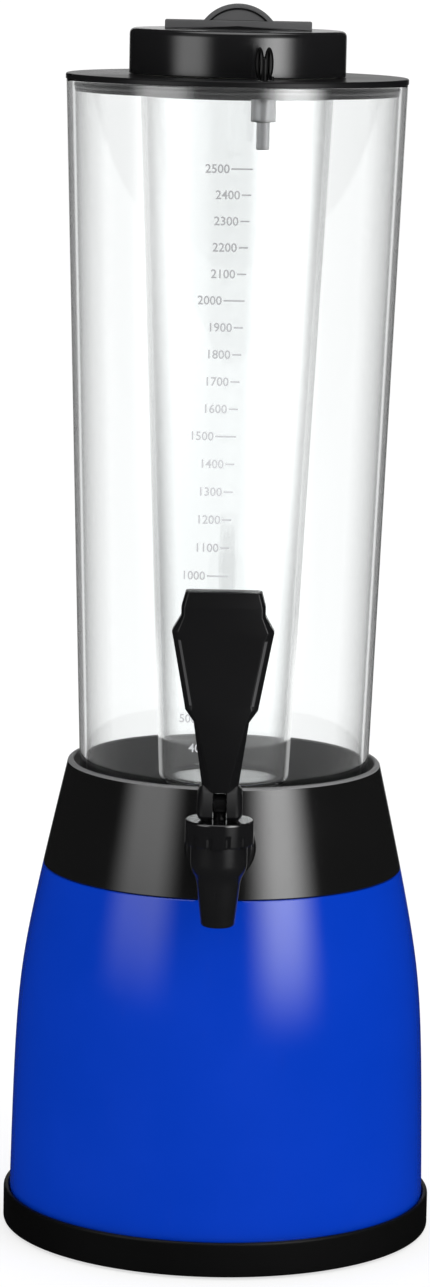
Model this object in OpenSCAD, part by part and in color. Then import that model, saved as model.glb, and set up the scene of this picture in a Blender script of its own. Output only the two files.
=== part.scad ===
// Table-top draft beer dispenser: a clear tapered tank with an ice tube, standing in a
// flared base of shell and collar, and drawn off through a tap with a cam lever.
// Millimetres, +Z up, origin on the floor under the tank's axis, tap towards -Y.

/* [Base shell] */
// Diameter that the shell's lower wall runs down to
shell_d = 171.2; // [164:0.1:190]
// Height of the seam between shell and collar
seam_h = 150; // [140:0.5:156]
// Lean of the shell's lower wall in degrees
shell_draft = 0.8; // [0:0.1:2]
// How softly the side of the base bends from shell to collar
side_blend = 3.2; // [1:0.1:6]
// Wall of the shell
shell_w = 2.5; // [1.5:0.1:3.5]
// Diameter of the screw bosses inside the shell
screw_boss_d = 9; // [7:0.1:12]
// Height of the screw bosses
screw_boss_h = 22; // [18:0.5:30]

/* [Foot] */
// Height of the foot's lip above the floor
foot_h = 15; // [10:0.5:20]
// Wall of the foot's lip
lip_w = 2; // [1.4:0.1:4]
// Rounding of the lip's top edge
lip_round = 1.2; // [0.4:0.1:1.3]
// Thickness of the foot plate
plate_t = 3.5; // [2.5:0.1:6]
// Diameter of the anti-slip pad
pad_d = 136; // [100:1:140]
// Thickness of the anti-slip pad
pad_t = 2; // [1.5:0.1:2.5]
// How far the pad stands out under the plate
pad_proud = 1; // [0.5:0.1:1.4]
// Number of foot screws
screw_count = 4; // [3:1:8]
// Diameter of a foot screw
screw_d = 3; // [2.5:0.1:4]
// Length of a foot screw under its head
screw_l = 14; // [10:0.5:16]
// Diameter of a screw's head
screw_head_d = 6.5; // [5.5:0.1:8]
// Height of a screw's head
screw_head_h = 1.8; // [1:0.1:2]
// Thickness of plate that a screw's head clamps
screw_web = 0.9; // [0.6:0.1:1.5]

/* [Collar] */
// Height of the collar above the seam
collar_h = 43.3; // [40:0.1:55]
// Lean of the collar's wall in degrees
collar_flare = 13.1; // [10:0.1:16]
// Wall of the collar
collar_w = 2.6; // [2:0.1:3.5]
// Rounding of the collar's rim
rim_round = 1.1; // [0.3:0.1:1.2]
// Bevel that marks the seam
seam_bevel = 0.6; // [0.2:0.1:1.5]
// Depth of the collar's lap inside the shell
lap_h = 9; // [5:0.5:15]
// Height of the tank's shelf above the seam
shelf_rise = 1.5; // [0:0.1:4]
// Thickness of the tank's shelf
shelf_t = 4; // [2.5:0.1:6]
// Width of the shelf inside the gasket
shelf_ledge = 1.5; // [0.5:0.1:4]
// Diameter of the boss that carries the tap
boss_d = 28.4; // [27:0.1:32]
// How far the boss stands out at its lower edge
boss_proud = 0.6; // [0.2:0.1:3]

/* [Tank] */
// Outer diameter of the tank at its mouth
tank_top_d = 136.2; // [128:0.1:146]
// Outer diameter of the tank at its floor
tank_bottom_d = 114.8; // [110:0.1:124]
// Height of the tank
tank_h = 314.7; // [260:0.1:380]
// Wall of the tank
tank_w = 2.5; // [1.8:0.1:3.2]
// Thickness of the tank's floor
tank_floor_t = 2.5; // [2:0.1:4]
// Rounding of the tank's lower edge
tank_corner = 5; // [3.5:0.1:8]
// Diameter of the flat pad round the tank's tap hole
tap_pad_d = 26; // [25:0.1:30]
// Thickness of that pad
tap_pad_t = 5; // [4:0.1:7]
// How far the pad stands out of the tank
tap_pad_proud = 0.6; // [0.2:0.1:1]
// Thickness of the tank's gasket
tank_gasket_t = 1.5; // [1:0.1:3]
// Width of the tank's gasket
tank_gasket_w = 9; // [5:0.5:14]

/* [Lid] */
// Thickness of the lid
lid_t = 2.3; // [1.8:0.1:4]
// How far the lid overhangs the tank
lid_overhang = 0.2; // [0:0.1:2]
// Depth of the lid's skirt inside the tank
skirt_h = 4.5; // [4:0.1:10]
// Wall of the skirt
skirt_w = 2; // [1.6:0.1:3]
// Height of the silicone ring on the skirt
lid_seal_h = 2; // [1:0.1:2.6]
// Depth of the ring's groove in the skirt
lid_groove = 0.7; // [0.3:0.1:1]
// Depth of the guide ring under the lid's hole
guide_h = 6; // [3:0.1:12]
// Wall of the guide ring
guide_w = 1.8; // [1.2:0.1:3]

/* [Ice tube] */
// Outer diameter of the ice tube in the lid's hole
tube_top_d = 77.6; // [70:0.1:82]
// Outer diameter of the ice tube at its closed end
tube_bottom_d = 52.4; // [46:0.1:60]
// Height of the closed end above the tank's floor
tube_gap = 29; // [24:0.5:90]
// Wall of the ice tube
tube_w = 2.2; // [1.6:0.1:3]
// Rounding of the closed end's edge
tube_corner = 4; // [3:0.1:8]
// How far the ice tube's flange reaches over the lid
tube_seat = 1.85; // [1.5:0.05:3]
// Thickness of the flange
tube_flange_t = 1.8; // [1.2:0.1:3]
// Height of the neck above the flange
neck_h = 11.5; // [6:0.1:14]
// Step between flange and neck
neck_step = 1.4; // [0.8:0.1:1.6]
// Thickness of the gasket under the flange
tube_gasket_t = 0.8; // [0.5:0.1:1.5]

/* [Cap] */
// Side wall of the cap
cap_w = 1.9; // [1.4:0.1:3]
// Top wall of the cap
cap_t = 2.2; // [2:0.1:4]
// Rounding of the cap's top edge
cap_round = 2.6; // [1:0.1:3]
// Thickness of the seal inside the cap
cap_seal_t = 1.7; // [1:0.1:3]
// Length of the grip bar
bar_l = 58.4; // [40:0.1:74]
// Thickness of the grip bar
bar_w = 5; // [3:0.1:10]
// Height of the grip bar
bar_h = 3.5; // [2:0.1:10]
// Width of the half-round tab where it leaves the bar
tab_w = 27.3; // [20:0.1:38]
// Height of the tab above the bar
tab_h = 6.6; // [5:0.1:10]

/* [Vent] */
// Distance of the vent's axis from the lid's skirt
vent_inset = 7.7; // [6:0.1:9]
// Turn of the vent's place from the tap in degrees
vent_angle = 11.4; // [-30:0.1:30]
// Diameter of the vent's shoulder
vent_d = 9.7; // [8.5:0.1:11]
// Depth of the shoulder's end below the lid's underside
vent_shoulder_l = 13.5; // [10.5:0.1:18]
// Diameter of the vent's drop tube
vent_tube_d = 5.15; // [4.6:0.05:6]
// Length of the drop tube
vent_tube_l = 10.7; // [6:0.1:20]
// Diameter of the air way
vent_bore_d = 1.8; // [1.2:0.1:2.2]
// Diameter of the spigot in the lid
vent_spigot_d = 6.6; // [6:0.1:7.4]
// Thickness of the vent's seal
vent_seal_t = 1; // [0.6:0.1:1.5]
// Width over the knob's wings
knob_w = 7.4; // [6:0.1:8.4]
// Height of the knob's wings
knob_h = 12.6; // [9:0.1:16]
// Thickness of the wings
knob_t = 3.6; // [2.6:0.1:4.2]
// Diameter of the knob's needle
needle_d = 3.1; // [2.6:0.1:3.6]
// Length of the needle below the lid's top
needle_l = 9; // [6:0.1:11]
// Diameter of the nub beside the knob
nub_d = 1.8; // [1.2:0.1:2.2]
// Height of the nub
nub_h = 1.6; // [0.8:0.1:2.5]

/* [Tap] */
// Height of the tap's pad above the tank's floor
tap_rise = 3; // [2.6:0.1:6]
// Reach of the spout's axis in front of the flange's seat
tap_reach = 26.3; // [24:0.1:34]
// Diameter of the flange
tap_flange_d = 26.4; // [23:0.1:28]
// Thickness of the flange
tap_flange_t = 3.5; // [2.5:0.1:5]
// Diameter of the threaded shank
shank_d = 16; // [14:0.1:18]
// Diameter of the beer way in the shank
shank_bore_d = 8.4; // [6:0.1:9]
// Diameter of the barrel
barrel_d = 22; // [20.5:0.1:24]
// Diameter of the valve chamber in the barrel
chamber_d = 15.2; // [14:0.1:16.4]
// Depth of the valve seat below the shank's axis
seat_drop = 4.6; // [4.5:0.1:6]
// Height of the shoulder between barrel and spout
shoulder_h = 4; // [2:0.1:6]
// Length of the spout below the shank's axis
spout_l = 25.5; // [20:0.1:36]
// Diameter at the top of the spout
spout_top_d = 17.4; // [15:0.1:19]
// Diameter at the end of the spout
spout_end_d = 13; // [12:0.1:15]
// Diameter of the spout's bore
spout_bore_d = 8.8; // [7:0.1:9.2]
// Rounding of the spout's end
spout_round = 1.2; // [0.4:0.1:1.4]
// Thickness of the tap's washers
tap_washer_t = 1.5; // [1:0.1:2.5]
// Diameter of the tap's washers
tap_washer_d = 24.4; // [21:0.1:25]
// Width of the nut across its flats
nut_af = 22; // [20:0.1:23]
// Thickness of the nut
nut_t = 7; // [5:0.1:10]
// How far the shank reaches past the nut
shank_tail = 2; // [0:0.1:6]

/* [Tap valve] */
// Diameter of the bonnet
bonnet_d = 26.6; // [25:0.1:30]
// Height of the bonnet
bonnet_h = 9.5; // [8.5:0.1:12]
// Height of the bonnet's top above the shank's axis
bonnet_rise = 16.7; // [15.5:0.1:20]
// Top wall of the bonnet
bonnet_t = 2.8; // [2:0.1:4]
// Rounding of the bonnet's top edge
bonnet_round = 0.8; // [0.3:0.1:1.2]
// Number of grip flutes on the bonnet
flute_count = 12; // [6:1:16]
// Diameter of a grip flute
flute_d = 2; // [1:0.1:2.6]
// Height of the grip flutes
flute_h = 5; // [3:0.1:7]
// Diameter of the valve stem
stem_d = 5; // [4.4:0.1:5.4]
// Diameter of the stem's eye
stem_eye_d = 8; // [7:0.1:9]
// Diameter of the button at the stem's foot
button_d = 8; // [7:0.1:9]
// Thickness of that button
button_t = 2; // [1.4:0.1:3]
// Diameter of the seat cup
cup_d = 12.6; // [11:0.1:13]
// Height of the seat cup
cup_h = 8; // [6.5:0.1:9]
// Diameter of the spring's wire
spring_wire = 0.9; // [0.6:0.05:1.1]
// Mean diameter of the spring
spring_d = 9.2; // [8.4:0.1:10.4]
// Number of turns of the spring
spring_turns = 5; // [3:1:6]
// Diameter of the pivot pin
pin_d = 3; // [2.4:0.1:3.6]

/* [Tap handle] */
// Height of the handle above its pin
handle_h = 83; // [70:0.5:110]
// Tilt of the handle when the tap is fully open, in degrees
tilt_max = 45; // [30:1:60]
// Lift of the stem at full tilt
cam_lift = 4; // [3:0.1:5]
// Radius of the cam with the tap closed
cam_r = 5.6; // [5:0.1:7]
// Room between the stem's eye and the roof of the fork
fork_room = 1.2; // [1:0.1:5]
// How far the ears run up into the neck
ear_root = 2.5; // [1:0.1:5]
// Thickness of one cam ear
ear_w = 6; // [4:0.1:6.5]
// Rounding of the cam ears' outer edges
ear_round = 1.8; // [0.5:0.1:2.4]
// Thickness of the paddle
handle_t = 12; // [10:0.1:14]
// Width of the crown at its flat top
crown_w = 29.3; // [20:0.1:34]
// Width of the crown at its upright sides
crown_low_w = 32.4; // [24:0.1:37]
// Height of the crown
crown_h = 9.2; // [6:0.1:14]
// Height of the crown's upright sides
crown_side_h = 3.5; // [1:0.1:5]
// Height of the corner between crown and paddle
corner_h = 6.1; // [3:0.1:8]
// Largest width of the paddle
paddle_w = 39.4; // [34:0.1:46]
// Height of the paddle's taper
paddle_h = 30.3; // [22:0.1:34]
// Width of the paddle at its lower end
paddle_low_w = 28.1; // [26:0.1:34]
// Height of the step from paddle to neck
step_h = 4.7; // [4:0.1:8]
// Width of the neck under the step
neck_w = 21.4; // [19:0.1:25]
// Width of the neck above the ears
neck_low_w = 13.2; // [12.6:0.1:18]
// Width of the bevels along the paddle
paddle_bevel = 2.4; // [1:0.1:4]
// Width of the front facet at the neck's lower end
neck_facet_w = 5.6; // [3:0.1:10]

/* [Fits] */
// Clearance between pieces that lift off or slide on one another
slide_fit = 0.35; // [0.3:0.05:0.6]
// Clearance between pieces that turn on one another
turn_fit = 0.3; // [0.2:0.05:0.5]
// Clearance round screws, pins and the shank
hole_fit = 0.1; // [0.05:0.01:0.2]
// Clearance between fixed pieces
seat_fit = 0.2; // [0.1:0.05:0.4]
// Clearance of the tank inside the collar's rim
tank_gap = 2.5; // [1.5:0.1:4]

/* [Hidden] */
$fn = 96;
black = "#1c1c1e";
blue = "#0536bd";
clear = [0.85, 0.88, 0.9, 0.35];
grey = "#9a9a9c";
silicone = "#c9c9c4";
rubber = "#262626";
steel = "#a8acb0";
// Length by which a cutter runs past the face that it cuts
cut = 1;

// Levels of the base, from the floor up
plate_top = pad_proud + plate_t;
rim_h = seam_h + collar_h;
shelf_top = seam_h + shelf_rise;
tank_z = shelf_top + tank_gasket_t;
tank_floor_z = tank_z + tank_floor_t;
tank_top = tank_z + tank_h;
lid_top = tank_top + lid_t;
skirt_z = tank_top - skirt_h;
tap_z = tank_floor_z + tap_rise + tap_pad_d / 2;

// Tapered radii of tank and ice tube
function tank_r(z) = (tank_bottom_d + (tank_top_d - tank_bottom_d) * (z - tank_z) / tank_h) / 2;
tube_z = tank_floor_z + tube_gap;
tube_l = lid_top - tube_z;
function tube_r(z) = (tube_bottom_d + (tube_top_d - tube_bottom_d) * (z - tube_z) / tube_l) / 2;

// Side of the base: a steep line below and a leaning line above, joined by a hyperbola
function low_r(z) = shell_d / 2 - (z - plate_top) * tan(shell_draft);
function high_r(z) = tank_r(rim_h) + tank_gap + collar_w + (rim_h - z) * tan(collar_flare);
function side_r(z) = (low_r(z) + high_r(z)) / 2
    - sqrt(pow((low_r(z) - high_r(z)) / 2, 2) + pow(side_blend, 2));
function side_curve(z0, z1, inset, steps) = [
    for (i = [0:steps]) let (z = z0 + (z1 - z0) * i / steps) [side_r(z) - inset, z]
];
side_steps = 20;
collar_steps = 6;
lap_steps = 2;

// Points on an arc about centre c
function arc(c, r, a0, a1, steps = 6) = [
    for (i = [0:steps]) let (a = a0 + (a1 - a0) * i / steps) c + r * [cos(a), sin(a)]
];

// Foot
lip_in_r = side_r(plate_top) + turn_fit;
foot_r = lip_in_r + lip_w;
pad_recess = pad_t - pad_proud;
boss_bite = 1.5;
screw_ring_r = side_r(plate_top + screw_boss_h) - shell_w - screw_boss_d / 2 + boss_bite;
screw_head_z = plate_top - screw_web - screw_head_h;

// Collar and tank
gasket_out_r = tank_bottom_d / 2 - tank_corner - seat_fit;
shelf_in_r = gasket_out_r - tank_gasket_w - shelf_ledge;
lap_inset = shell_w + seat_fit;
boss_y = side_r(tap_z - boss_d / 2) + boss_proud;
tap_pad_y = tank_r(tap_z) + tap_pad_proud;
shank_hole_d = shank_d + 2 * hole_fit;

// Lid
lid_r = tank_r(tank_top) + lid_overhang;
skirt_r = tank_r(skirt_z) - tank_w - slide_fit - lid_groove / 2;
skirt_in_r = skirt_r - skirt_w;
lid_seal_z = skirt_z + (skirt_h - lid_seal_h) / 2;
lid_seal_r = tank_r(lid_seal_z) - tank_w - slide_fit;
lid_hole_r = tube_r(lid_top) + slide_fit;
lid_round = lid_t / 3;

// Ice tube and cap
flange_r = lid_hole_r + tube_seat;
flange_z = lid_top + tube_gasket_t;
flange_top = flange_z + tube_flange_t;
neck_top = flange_top + neck_h;
neck_r = flange_r - neck_step;
mouth_r = tube_r(lid_top) - tube_w;
cap_in_r = flange_r + turn_fit;
cap_r = cap_in_r + cap_w;
cap_z = lid_top + turn_fit;
cap_seal_top = neck_top + cap_seal_t;
cap_in_top = cap_seal_top + seat_fit;
cap_top = cap_in_top + cap_t;
bar_top = cap_top + bar_h;
tab_r = (pow(tab_w / 2, 2) + pow(tab_h, 2)) / (2 * tab_h);

// Vent
vent_ring_r = skirt_in_r - vent_inset;
vent_x = vent_ring_r * sin(vent_angle);
vent_y = -vent_ring_r * cos(vent_angle);
vent_top_z = tank_top - vent_seal_t;
vent_low_z = tank_top - vent_shoulder_l;
vent_end_z = vent_low_z - vent_tube_l;
needle_hole_d = needle_d + turn_fit;
knob_z = lid_top + turn_fit;
nub_reach = norm([knob_w / 2, knob_t / 2]) + turn_fit + nub_d / 2;
nub_turn = 55;

// Tap, measured from the crossing of spout axis and shank axis
tap_y = -(boss_y + tap_washer_t + tap_reach);
barrel_top = bonnet_rise - bonnet_t - seat_fit;
bonnet_z = bonnet_rise - bonnet_h;
tap_neck_d = 2 * (bonnet_z - seat_fit);
shank_end_y = -(tap_pad_y - tap_pad_t - tap_washer_t - nut_t - shank_tail) - tap_y;
cup_z = -seat_drop + hole_fit;
cup_top = cup_z + cup_h;
spring_gap = bonnet_rise - bonnet_t - cup_top;

// Cam: the distance from pin to bonnet grows evenly with the tilt
cam_rate = cam_lift / (tilt_max * PI / 180);
pin_rise = bonnet_rise + turn_fit + cam_r;
function cam_point(turn, r, rate) = [
    -r * sin(turn) - rate * cos(turn), -r * cos(turn) + rate * sin(turn)
];
cam_steps = 10;
cam_wrap = 90;
cam_back = [for (i = [0:cam_steps]) cam_point(cam_wrap * (i / cam_steps - 1), cam_r, 0)];
cam_front = [
    for (i = [0:cam_steps]) let (turn = tilt_max * i / cam_steps)
        cam_point(turn, cam_r + cam_lift * i / cam_steps, cam_rate)
];
slot_w = stem_d + 2 * turn_fit;
slot_top = stem_eye_d / 2 + fork_room;
neck_t = 2 * cam_r;
ear_top = slot_top + ear_root;

module foot_pad() {
    color(rubber) cylinder(d = pad_d, h = pad_t);
}

module foot_plate() {
    edge = lip_w / 2;
    profile = concat(
        [[0, pad_proud], [foot_r - edge, pad_proud], [foot_r, pad_proud + edge]],
        arc([foot_r - lip_round, foot_h - lip_round], lip_round, 0, 90),
        [[lip_in_r, foot_h], [lip_in_r, plate_top], [0, plate_top]]
    );
    color(black) difference() {
        rotate_extrude() polygon(profile);
        translate([0, 0, pad_proud - cut])
            cylinder(d = pad_d + 2 * seat_fit, h = pad_recess + cut);
        at_screws() {
            cylinder(d = screw_d + 4 * hole_fit, h = plate_top + cut);
            translate([0, 0, -cut])
                cylinder(d = screw_head_d + 2 * seat_fit, h = screw_head_z + screw_head_h + cut);
        }
    }
}

// Places of the foot screws
module at_screws() {
    for (i = [0:screw_count - 1])
        rotate([0, 0, (i + 0.5) * 360 / screw_count])
            translate([screw_ring_r, 0, 0])
                children();
}

module foot_screws() {
    cross_w = screw_d / 4;
    color(steel) at_screws() translate([0, 0, screw_head_z]) difference() {
        union() {
            cylinder(d = screw_head_d, h = screw_head_h);
            cylinder(d = screw_d, h = screw_head_h + screw_l);
        }
        for (turn = [0, 90])
            rotate([0, 0, turn])
                translate([-screw_d / 2, -cross_w / 2, -cut])
                    cube([screw_d, cross_w, cut + screw_head_h / 2]);
    }
}

module base_shell() {
    outer = side_curve(plate_top, seam_h, 0, side_steps);
    inner = side_curve(seam_h, plate_top, shell_w, side_steps);
    color(blue) difference() {
        union() {
            rotate_extrude() polygon(concat(outer, inner));
            at_screws() translate([0, 0, plate_top])
                cylinder(d = screw_boss_d, h = screw_boss_h);
        }
        at_screws() translate([0, 0, plate_top - cut])
            cylinder(d = screw_d + 2 * hole_fit, h = cut + screw_l);
    }
}

// A round bar along Y, from the front end y0 to the rear end y1
module along_y(d, y0, y1) {
    translate([0, y0, 0]) rotate([-90, 0, 0]) cylinder(d = d, h = y1 - y0);
}

module collar() {
    rim_r = side_r(rim_h - rim_round);
    profile = concat(
        [[side_r(seam_h) - seam_bevel, seam_h]],
        side_curve(seam_h + seam_bevel, rim_h - rim_round, 0, collar_steps),
        arc([rim_r - rim_round, rim_h - rim_round], rim_round, 15, 90),
        side_curve(rim_h, shelf_top, collar_w, collar_steps),
        [[shelf_in_r, shelf_top], [shelf_in_r, shelf_top - shelf_t]],
        side_curve(shelf_top - shelf_t, seam_h - lap_h, lap_inset + collar_w, lap_steps),
        side_curve(seam_h - lap_h, seam_h, lap_inset, lap_steps)
    );
    color(black) difference() {
        union() {
            rotate_extrude() polygon(profile);
            translate([0, 0, tap_z]) along_y(boss_d, -boss_y, -tap_pad_y - seat_fit);
        }
        translate([0, 0, tap_z]) along_y(shank_hole_d, -boss_y - cut, 0);
    }
}

// A flat ring
module ring(outer_r, inner_r, height) {
    difference() {
        cylinder(r = outer_r, h = height);
        translate([0, 0, -cut]) cylinder(r = inner_r, h = height + 2 * cut);
    }
}

module tank_gasket() {
    color(silicone) translate([0, 0, shelf_top])
        ring(gasket_out_r, gasket_out_r - tank_gasket_w, tank_gasket_t);
}

module tank() {
    in_corner = tank_corner - tank_w;
    low_out = tank_r(tank_z + tank_corner);
    low_in = tank_r(tank_floor_z + in_corner) - tank_w;
    profile = concat(
        [[0, tank_z]],
        arc([low_out - tank_corner, tank_z + tank_corner], tank_corner, -90, 0),
        [[tank_r(tank_top), tank_top], [tank_r(tank_top) - tank_w, tank_top]],
        arc([low_in - in_corner, tank_floor_z + in_corner], in_corner, 0, -90),
        [[0, tank_floor_z]]
    );
    color(clear) difference() {
        union() {
            rotate_extrude() polygon(profile);
            translate([0, 0, tap_z]) along_y(tap_pad_d, -tap_pad_y, -tap_pad_y + tap_pad_t);
        }
        translate([0, 0, tap_z]) along_y(shank_hole_d, -tap_pad_y - cut, 0);
    }
}

module lid() {
    groove_r = skirt_r - lid_groove;
    seal_top = lid_seal_z + lid_seal_h;
    profile = concat(
        [[lid_hole_r, lid_top]],
        arc([lid_r - lid_round, lid_top - lid_round], lid_round, 90, 0),
        [[lid_r, tank_top], [skirt_r, tank_top], [skirt_r, seal_top], [groove_r, seal_top]],
        [[groove_r, lid_seal_z], [skirt_r, lid_seal_z], [skirt_r, skirt_z], [skirt_in_r, skirt_z]],
        [[skirt_in_r, tank_top], [lid_hole_r + guide_w, tank_top]],
        [[lid_hole_r + guide_w, tank_top - guide_h], [lid_hole_r, tank_top - guide_h]]
    );
    color(black) difference() {
        union() {
            rotate_extrude() polygon(profile);
            translate([vent_x, vent_y, tank_top])
                rotate([0, 0, nub_turn])
                    translate([nub_reach, 0, 0])
                        cylinder(d = nub_d, h = lid_t + nub_h);
        }
        translate([vent_x, vent_y, tank_top - cut])
            cylinder(d = vent_spigot_d + 2 * hole_fit, h = lid_t + 2 * cut);
    }
}

module lid_seal() {
    groove_r = skirt_r - lid_groove;
    profile = [
        [groove_r, lid_seal_z], [skirt_r, lid_seal_z], [lid_seal_r, lid_seal_z + lid_seal_h / 3],
        [lid_seal_r, lid_seal_z + lid_seal_h * 2 / 3], [skirt_r, lid_seal_z + lid_seal_h],
        [groove_r, lid_seal_z + lid_seal_h]
    ];
    color(silicone) rotate_extrude() polygon(profile);
}

module ice_tube() {
    in_corner = tube_corner - tube_w;
    end_r = tube_r(tube_z + tube_corner) - tube_corner;
    in_z = tube_z + tube_w;
    in_r = tube_r(in_z + in_corner) - tube_w - in_corner;
    profile = concat(
        [[0, tube_z]],
        arc([end_r, tube_z + tube_corner], tube_corner, -90, 0),
        [[tube_r(lid_top), lid_top], [tube_r(lid_top), flange_z], [flange_r, flange_z]],
        [[flange_r, flange_top], [neck_r, flange_top], [neck_r, neck_top], [mouth_r, neck_top]],
        [[mouth_r, lid_top]],
        arc([in_r, in_z + in_corner], in_corner, 0, -90),
        [[0, in_z]]
    );
    color(clear) rotate_extrude() polygon(profile);
}

module tube_gasket() {
    color(silicone) translate([0, 0, lid_top])
        ring(flange_r, lid_hole_r, tube_gasket_t);
}

module ice_cap() {
    profile = concat(
        [[cap_in_r, cap_z], [cap_r, cap_z]],
        arc([cap_r - cap_round, cap_top - cap_round], cap_round, 0, 90),
        [[0, cap_top], [0, cap_in_top], [cap_in_r, cap_in_top]]
    );
    color(black) union() {
        rotate_extrude() polygon(profile);
        translate([-bar_l / 2, -bar_w / 2, cap_top - cap_t / 2])
            cube([bar_l, bar_w, bar_h + cap_t / 2]);
        intersection() {
            translate([0, 0, bar_top + tab_h - tab_r]) along_y(2 * tab_r, -bar_w / 2, bar_w / 2);
            translate([-tab_r, -bar_w, bar_top - cut]) cube([2 * tab_r, 2 * bar_w, tab_h + 2 * cut]);
        }
    }
}

module cap_seal() {
    color(silicone) translate([0, 0, neck_top])
        ring(cap_in_r - turn_fit, mouth_r, cap_seal_t);
}

module vent_body() {
    spigot_r = vent_spigot_d / 2;
    needle_seat_z = lid_top - needle_l - turn_fit;
    profile = [
        [vent_bore_d / 2, vent_end_z], [vent_tube_d / 2, vent_end_z], [vent_tube_d / 2, vent_low_z],
        [vent_d / 2, vent_low_z], [vent_d / 2, vent_top_z], [spigot_r, vent_top_z],
        [spigot_r, lid_top], [needle_hole_d / 2, lid_top], [needle_hole_d / 2, needle_seat_z],
        [vent_bore_d / 2, needle_seat_z]
    ];
    color(grey) translate([vent_x, vent_y, 0]) rotate_extrude() polygon(profile);
}

module vent_seal() {
    color(silicone) translate([vent_x, vent_y, vent_top_z])
        ring(vent_d / 2, vent_spigot_d / 2, vent_seal_t);
}

// Outline of an ellipse with half axes a and b
module oval(a, b) {
    polygon([for (turn = [0:15:345]) [a * cos(turn), b * sin(turn)]]);
}

module vent_knob() {
    wing_a = knob_w / 4;
    mid_z = knob_z + knob_h / 2;
    tip_h = needle_d / 2;
    color(black) translate([vent_x, vent_y, 0]) {
        translate([0, 0, mid_z]) intersection() {
            rotate([90, 0, 0]) linear_extrude(knob_t, center = true) {
                for (side = [-1, 1]) translate([side * wing_a, 0]) oval(wing_a, knob_h / 2);
                square([2 * wing_a, knob_h / 3], center = true);
            }
            rotate([90, 0, 90]) linear_extrude(2 * knob_w, center = true)
                oval(knob_t / 2, knob_h / 2 + cut);
        }
        translate([0, 0, lid_top - needle_l + tip_h])
            cylinder(d = needle_d, h = mid_z - lid_top + needle_l - tip_h);
        translate([0, 0, lid_top - needle_l])
            cylinder(d1 = vent_bore_d / 2, d2 = needle_d, h = tip_h);
    }
}

// Puts its children at the crossing of spout axis and shank axis
module at_tap() {
    translate([0, tap_y, tap_z]) children();
}

module tap_body() {
    barrel_r = barrel_d / 2;
    end_r = spout_end_d / 2;
    flange_y = tap_reach - tap_flange_t;
    profile = concat(
        [[0, -spout_l]],
        arc([end_r - spout_round, spout_round - spout_l], spout_round, -90, 0),
        [[spout_top_d / 2, -seat_drop - shoulder_h / 2], [barrel_r, shoulder_h / 2 - seat_drop]],
        [[barrel_r, barrel_top], [0, barrel_top]]
    );
    color(black) at_tap() difference() {
        union() {
            rotate_extrude() polygon(profile);
            along_y(tap_neck_d, 0, flange_y + cut);
            along_y(tap_flange_d, flange_y, tap_reach);
            along_y(shank_d, flange_y, shank_end_y);
        }
        translate([0, 0, -seat_drop]) cylinder(d = chamber_d, h = seat_drop + barrel_top + cut);
        translate([0, 0, -spout_l - cut]) cylinder(d = spout_bore_d, h = spout_l + cut);
        along_y(shank_bore_d, 0, shank_end_y + cut);
    }
}

module tap_washer_outer() {
    color(rubber) translate([0, 0, tap_z]) difference() {
        along_y(tap_washer_d, -boss_y - tap_washer_t, -boss_y);
        along_y(shank_hole_d, -boss_y - tap_washer_t - cut, -boss_y + cut);
    }
}

module tap_washer_inner() {
    seat_y = -tap_pad_y + tap_pad_t;
    color(silicone) translate([0, 0, tap_z]) difference() {
        along_y(tap_washer_d, seat_y, seat_y + tap_washer_t);
        along_y(shank_hole_d, seat_y - cut, seat_y + tap_washer_t + cut);
    }
}

module tap_nut() {
    seat_y = -tap_pad_y + tap_pad_t + tap_washer_t;
    color(black) translate([0, seat_y, tap_z]) difference() {
        rotate([-90, 0, 0]) cylinder(d = nut_af / cos(30), h = nut_t, $fn = 6);
        along_y(shank_hole_d, -cut, nut_t + cut);
    }
}

module tap_bonnet() {
    outer_r = bonnet_d / 2;
    inner_r = barrel_d / 2 + hole_fit;
    stem_hole_r = stem_d / 2 + turn_fit;
    profile = concat(
        [[inner_r, bonnet_z], [outer_r, bonnet_z]],
        arc([outer_r - bonnet_round, bonnet_rise - bonnet_round], bonnet_round, 0, 90, 4),
        [[stem_hole_r, bonnet_rise], [stem_hole_r, bonnet_rise - bonnet_t]],
        [[inner_r, bonnet_rise - bonnet_t]]
    );
    color(black) at_tap() difference() {
        rotate_extrude() polygon(profile);
        for (i = [0:flute_count - 1])
            rotate([0, 0, (i + 0.5) * 360 / flute_count])
                translate([outer_r + flute_d / 8, 0, bonnet_z - cut])
                    cylinder(d = flute_d, h = flute_h + cut);
    }
}

module valve_stem() {
    foot = cup_z + cup_h / 2;
    color(black) at_tap() difference() {
        union() {
            translate([0, 0, foot - button_t]) cylinder(d = button_d, h = button_t);
            translate([0, 0, foot - button_t]) cylinder(d = stem_d, h = pin_rise - foot + button_t);
            translate([-stem_d / 2, 0, pin_rise]) rotate([0, 90, 0])
                cylinder(d = stem_eye_d, h = stem_d);
        }
        translate([-stem_d, 0, pin_rise]) rotate([0, 90, 0])
            cylinder(d = pin_d + 2 * hole_fit, h = 2 * stem_d);
    }
}

module seat_cup() {
    foot = cup_z + cup_h / 2;
    plug_r = spout_bore_d / 2 - turn_fit;
    plug_h = plug_r / 2;
    cup_r = cup_d / 2;
    button_r = button_d / 2 + hole_fit;
    stem_r = stem_d / 2 + hole_fit;
    profile = concat(
        [[0, cup_z - plug_h]],
        [[plug_r / 2, cup_z - plug_h], [plug_r, cup_z], [cup_r, cup_z], [cup_r, cup_z + cup_h / 4]],
        [[cup_r - cup_h / 8, cup_top], [stem_r, cup_top], [stem_r, foot + hole_fit]],
        [[button_r, foot + hole_fit], [button_r, foot - button_t], [0, foot - button_t]]
    );
    color(silicone) at_tap() rotate_extrude() polygon(profile);
}

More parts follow.
